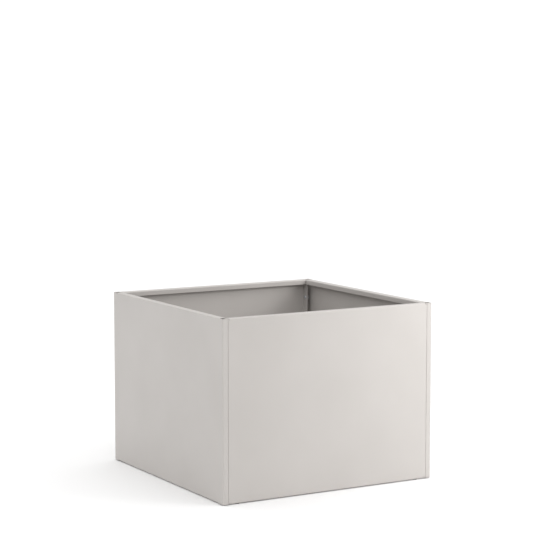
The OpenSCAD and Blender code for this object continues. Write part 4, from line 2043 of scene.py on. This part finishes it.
    def skin(self, shell: Shell, rings: list[list[Vector]], hole_low: int) -> None:
        """Joins the rings, leaves the hole's cells out of the tab and lines the hole.

        Args:
            shell: The mesh to add to.
            rings: The cage's rings from the tip of the stem to the top of the tab.
            hole_low: Index of the ring at the hole's foot.
        """
        n, half, start, end = self.steps, self.steps // 2, self.hole_point, self.end_points
        back, front = range(start, half - start + 1), range(n - start, half + start - 1, -1)
        borders = {1: self.hole_border(hole_low, back), -1: self.hole_border(hole_low, front)}
        centre = Vector((0, 0, self.sizes.dish_depth + self.tab_h / 2))
        for side, border in borders.items():
            spots = self.hole_spots(len(border), self.hole_flare[0], side * self.tab_half_t)
            for (row, k), spot in zip(border, spots):
                rings[row][k] = centre + spot
        verts = [[shell.place(p) for p in r] for r in rings]
        for row in range(len(rings) - 1):
            in_hole_rows = hole_low <= row < hole_low + len(back) - 1
            for k in range(n):
                if in_hole_rows and start <= k % half < half - start:
                    continue
                below, above, after = verts[row], verts[row + 1], (k + 1) % n
                shell.turned_face((below[k], below[after], above[after], above[k]))
        last = verts[-1]
        shell.turned_face(verts[0], flip=True)
        for k in range(end, half - end):
            shell.turned_face((last[k], last[k + 1], last[n - k - 1], last[n - k]))
        shell.turned_face([last[k] for k in range(-end, end + 1)])
        shell.turned_face([last[k] for k in range(half - end, half + end + 1)])
        self.line_hole(shell, [[verts[r][k] for r, k in border] for border in borders.values()], centre)

    def hole_spots(self, count: int, flare: float, y: float) -> list[Vector]:
        """Points round the hole, counted from its middle.

        Args:
            count: Number of points.
            flare: How much wider than the hole they stand.
            y: Their place across the tab.

        Returns:
            The points, from the right side upwards and round.
        """
        angles = [2 * math.pi * i / count for i in range(count)]
        ways = [Vector((math.cos(a), 0, math.sin(a))) for a in angles]
        return [way * (self.hole_r + flare) + Vector((0, y, 0)) for way in ways]

    def line_hole(self, shell: Shell, mouths: list[list[bmesh.types.BMVert]], centre: Vector) -> None:
        """Lines the hole between its two mouths.

        Args:
            shell: The mesh to add to.
            mouths: The vertices round the hole at the back and at the front of the tab.
            centre: The middle of the hole.
        """
        count, depth = len(mouths[0]), self.tab_half_t - self.hole_lip
        inside = [
            [shell.place(centre + spot) for spot in self.hole_spots(count, self.hole_flare[1], y)]
            for y in (depth, -depth)
        ]
        loops = [mouths[0], *inside, mouths[1]]
        for near, far in zip(loops, loops[1:]):
            for i in range(count):
                after = (i + 1) % count
                shell.turned_face((near[i], near[after], far[after], far[i]))


@dataclass(frozen=True)
class Studio:
    """Pale floor, soft light and the photograph's viewpoint.

    Attributes:
        lens: Focal length in millimetres.
        sensor: Width of the sensor in millimetres.
        eye: Place of the camera.
        heading: The camera's turn about Z in degrees.
        pitch: How far it looks down in degrees.
        floor_half: Half the width of the floor in metres.
        floor_colour: Colour of the floor.
        floor_roughness: Roughness of the floor.
        floor_shine: Level of its reflection.
        backdrop_white: Strength of the white behind everything.
        horizon: Strength of the sky's light at the horizon.
        zenith: Strength of the sky's light from above.
        horizon_band: Heights, as sines, between which it goes from one to the other.
        key_place: Place of the one large light.
        key_aim: Place that it points at.
        key_size: Width of the light in metres.
        key_power: Its power in watts.
        key_spread: Angle into which it shines, in degrees.
    """

    lens: float = 124.85
    sensor: float = 36.0
    eye: Place = (-2.405832, -4.156830, 1.072216)
    heading: float = -29.98
    pitch: float = 6.347
    floor_half: float = 400.0
    floor_colour: Colour = (0.96, 0.96, 0.96, 1)
    floor_roughness: float = 0.9
    floor_shine: float = 0.1
    backdrop_white: float = 1.03
    horizon: float = 0.3
    zenith: float = 1.25
    horizon_band: Row = (0.1, 0.5)
    key_place: Place = (0.95, -1.2, 0.85)
    key_aim: Place = (0.5, -0.3, 0.45)
    key_size: float = 0.7
    key_power: float = 2.3
    key_spread: float = 70.0

    def build(self) -> None:
        """Sets up the floor, the lights, the sky and the camera."""
        self.lay_floor()
        self.hang_sky()
        self.hang_softbox()
        self.place_camera()
        settings = bpy.context.scene.view_settings
        settings.view_transform, settings.look = "Standard", "None"

    def lay_floor(self) -> None:
        """Lays a wide matt floor."""
        shell, half = Shell(), self.floor_half / MM
        lines = (-half, half)
        shell.sheet(lines, lines, lambda x, y: Vector((x, y, 0)))
        floor = shell.finish("studio_floor", closed=False)
        _, material, shader = new_material("matt_floor")
        shader.inputs["Base Color"].default_value = self.floor_colour
        shader.inputs["Roughness"].default_value = self.floor_roughness
        shader.inputs["Specular IOR Level"].default_value = self.floor_shine
        floor.data.materials.append(material)

    def hang_sky(self) -> None:
        """Surrounds the scene with white light that fades towards the horizon, on a white backdrop."""
        world = bpy.data.worlds.new("studio_surround")
        world.use_nodes = True
        world.node_tree.nodes.clear()
        sheet = NodeSheet(world.node_tree)
        way = sheet.node("ShaderNodeTexCoord").outputs["Generated"]
        height = sheet.node("ShaderNodeSeparateXYZ", {0: way}).outputs["Z"]
        sky = sheet.remap(height, self.horizon_band, (self.horizon, self.zenith))
        light, backdrop = (
            sheet.node("ShaderNodeBackground", {"Color": (1, 1, 1, 1), "Strength": strength})
            for strength in (sky, self.backdrop_white)
        )
        seen = sheet.node("ShaderNodeLightPath").outputs["Is Camera Ray"]
        both = sheet.node("ShaderNodeMixShader", {0: seen, 1: light.outputs[0], 2: backdrop.outputs[0]})
        sheet.node("ShaderNodeOutputWorld", {"Surface": both.outputs[0]})
        bpy.context.scene.world = world

    def hang_softbox(self) -> None:
        """Hangs the one large square light, before the right corner; no gloss mirrors it."""
        data = bpy.data.lights.new("key_softbox", "AREA")
        data.shape, data.size, data.energy = "SQUARE", self.key_size, self.key_power
        data.spread = math.radians(self.key_spread)
        light = bpy.data.objects.new("key_softbox", data)
        light.location = self.key_place
        way = Vector(self.key_aim) - Vector(self.key_place)
        light.rotation_euler = way.to_track_quat("-Z", "Y").to_euler()
        light.visible_camera = light.visible_glossy = False
        bpy.context.scene.collection.objects.link(light)

    def place_camera(self) -> None:
        """Places the camera where the photograph was taken from."""
        data = bpy.data.cameras.new("viewpoint")
        data.lens, data.sensor_width = self.lens, self.sensor
        data.clip_end = 4 * self.floor_half
        camera = bpy.data.objects.new("viewpoint", data)
        camera.location = self.eye
        camera.rotation_euler = (math.radians(90 - self.pitch), 0, math.radians(self.heading))
        bpy.context.scene.collection.objects.link(camera)
        bpy.context.scene.camera = camera


def planter_parts(sizes: PlanterSizes) -> list[SubAssembly]:
    """Lists the planter's sub-assemblies.

    Args:
        sizes: The shared sizes.

    Returns:
        The walls, the floor and what carries it, what is at each corner, and the bungs.
    """
    walls = [FoldedWall.side_wall(side, sizes) for side in Side]
    walls += [FoldedWall.face_wall(face, sizes) for face in Face]
    floor = [FloorTray(sizes), *(kind(side, sizes) for kind in (FloorBeam, RivetRow) for side in Side)]
    corners = [kind(corner, sizes) for kind in (SeamFasteners, RubberFoot) for corner in Corner]
    bungs = [DrainBung(label, x, y, sizes) for label, (x, y) in sizes.drain_places().items()]
    return [*walls, *floor, *corners, *bungs]


def main() -> None:
    """Makes the finishes, builds every piece in order and sets up the studio."""
    logging.basicConfig(level=logging.INFO, format="%(name)s: %(message)s")
    effects = SharedEffects.build()
    finishes = {
        Slot.POWDER_COAT: PowderCoat().build(effects),
        Slot.GALVANISED_SHEET: GalvanisedSheet().build(effects),
        Slot.ZINC_PLATE: ZincPlate().build(effects),
        Slot.BLACK_RUBBER: BlackRubber().build(effects),
    }
    for part in planter_parts(PlanterSizes()):
        for node, piece in part.build(finishes).items():
            log.info("%s stands for %s", piece.name, node)
    Studio().build()


if __name__ == "__main__":
    main()
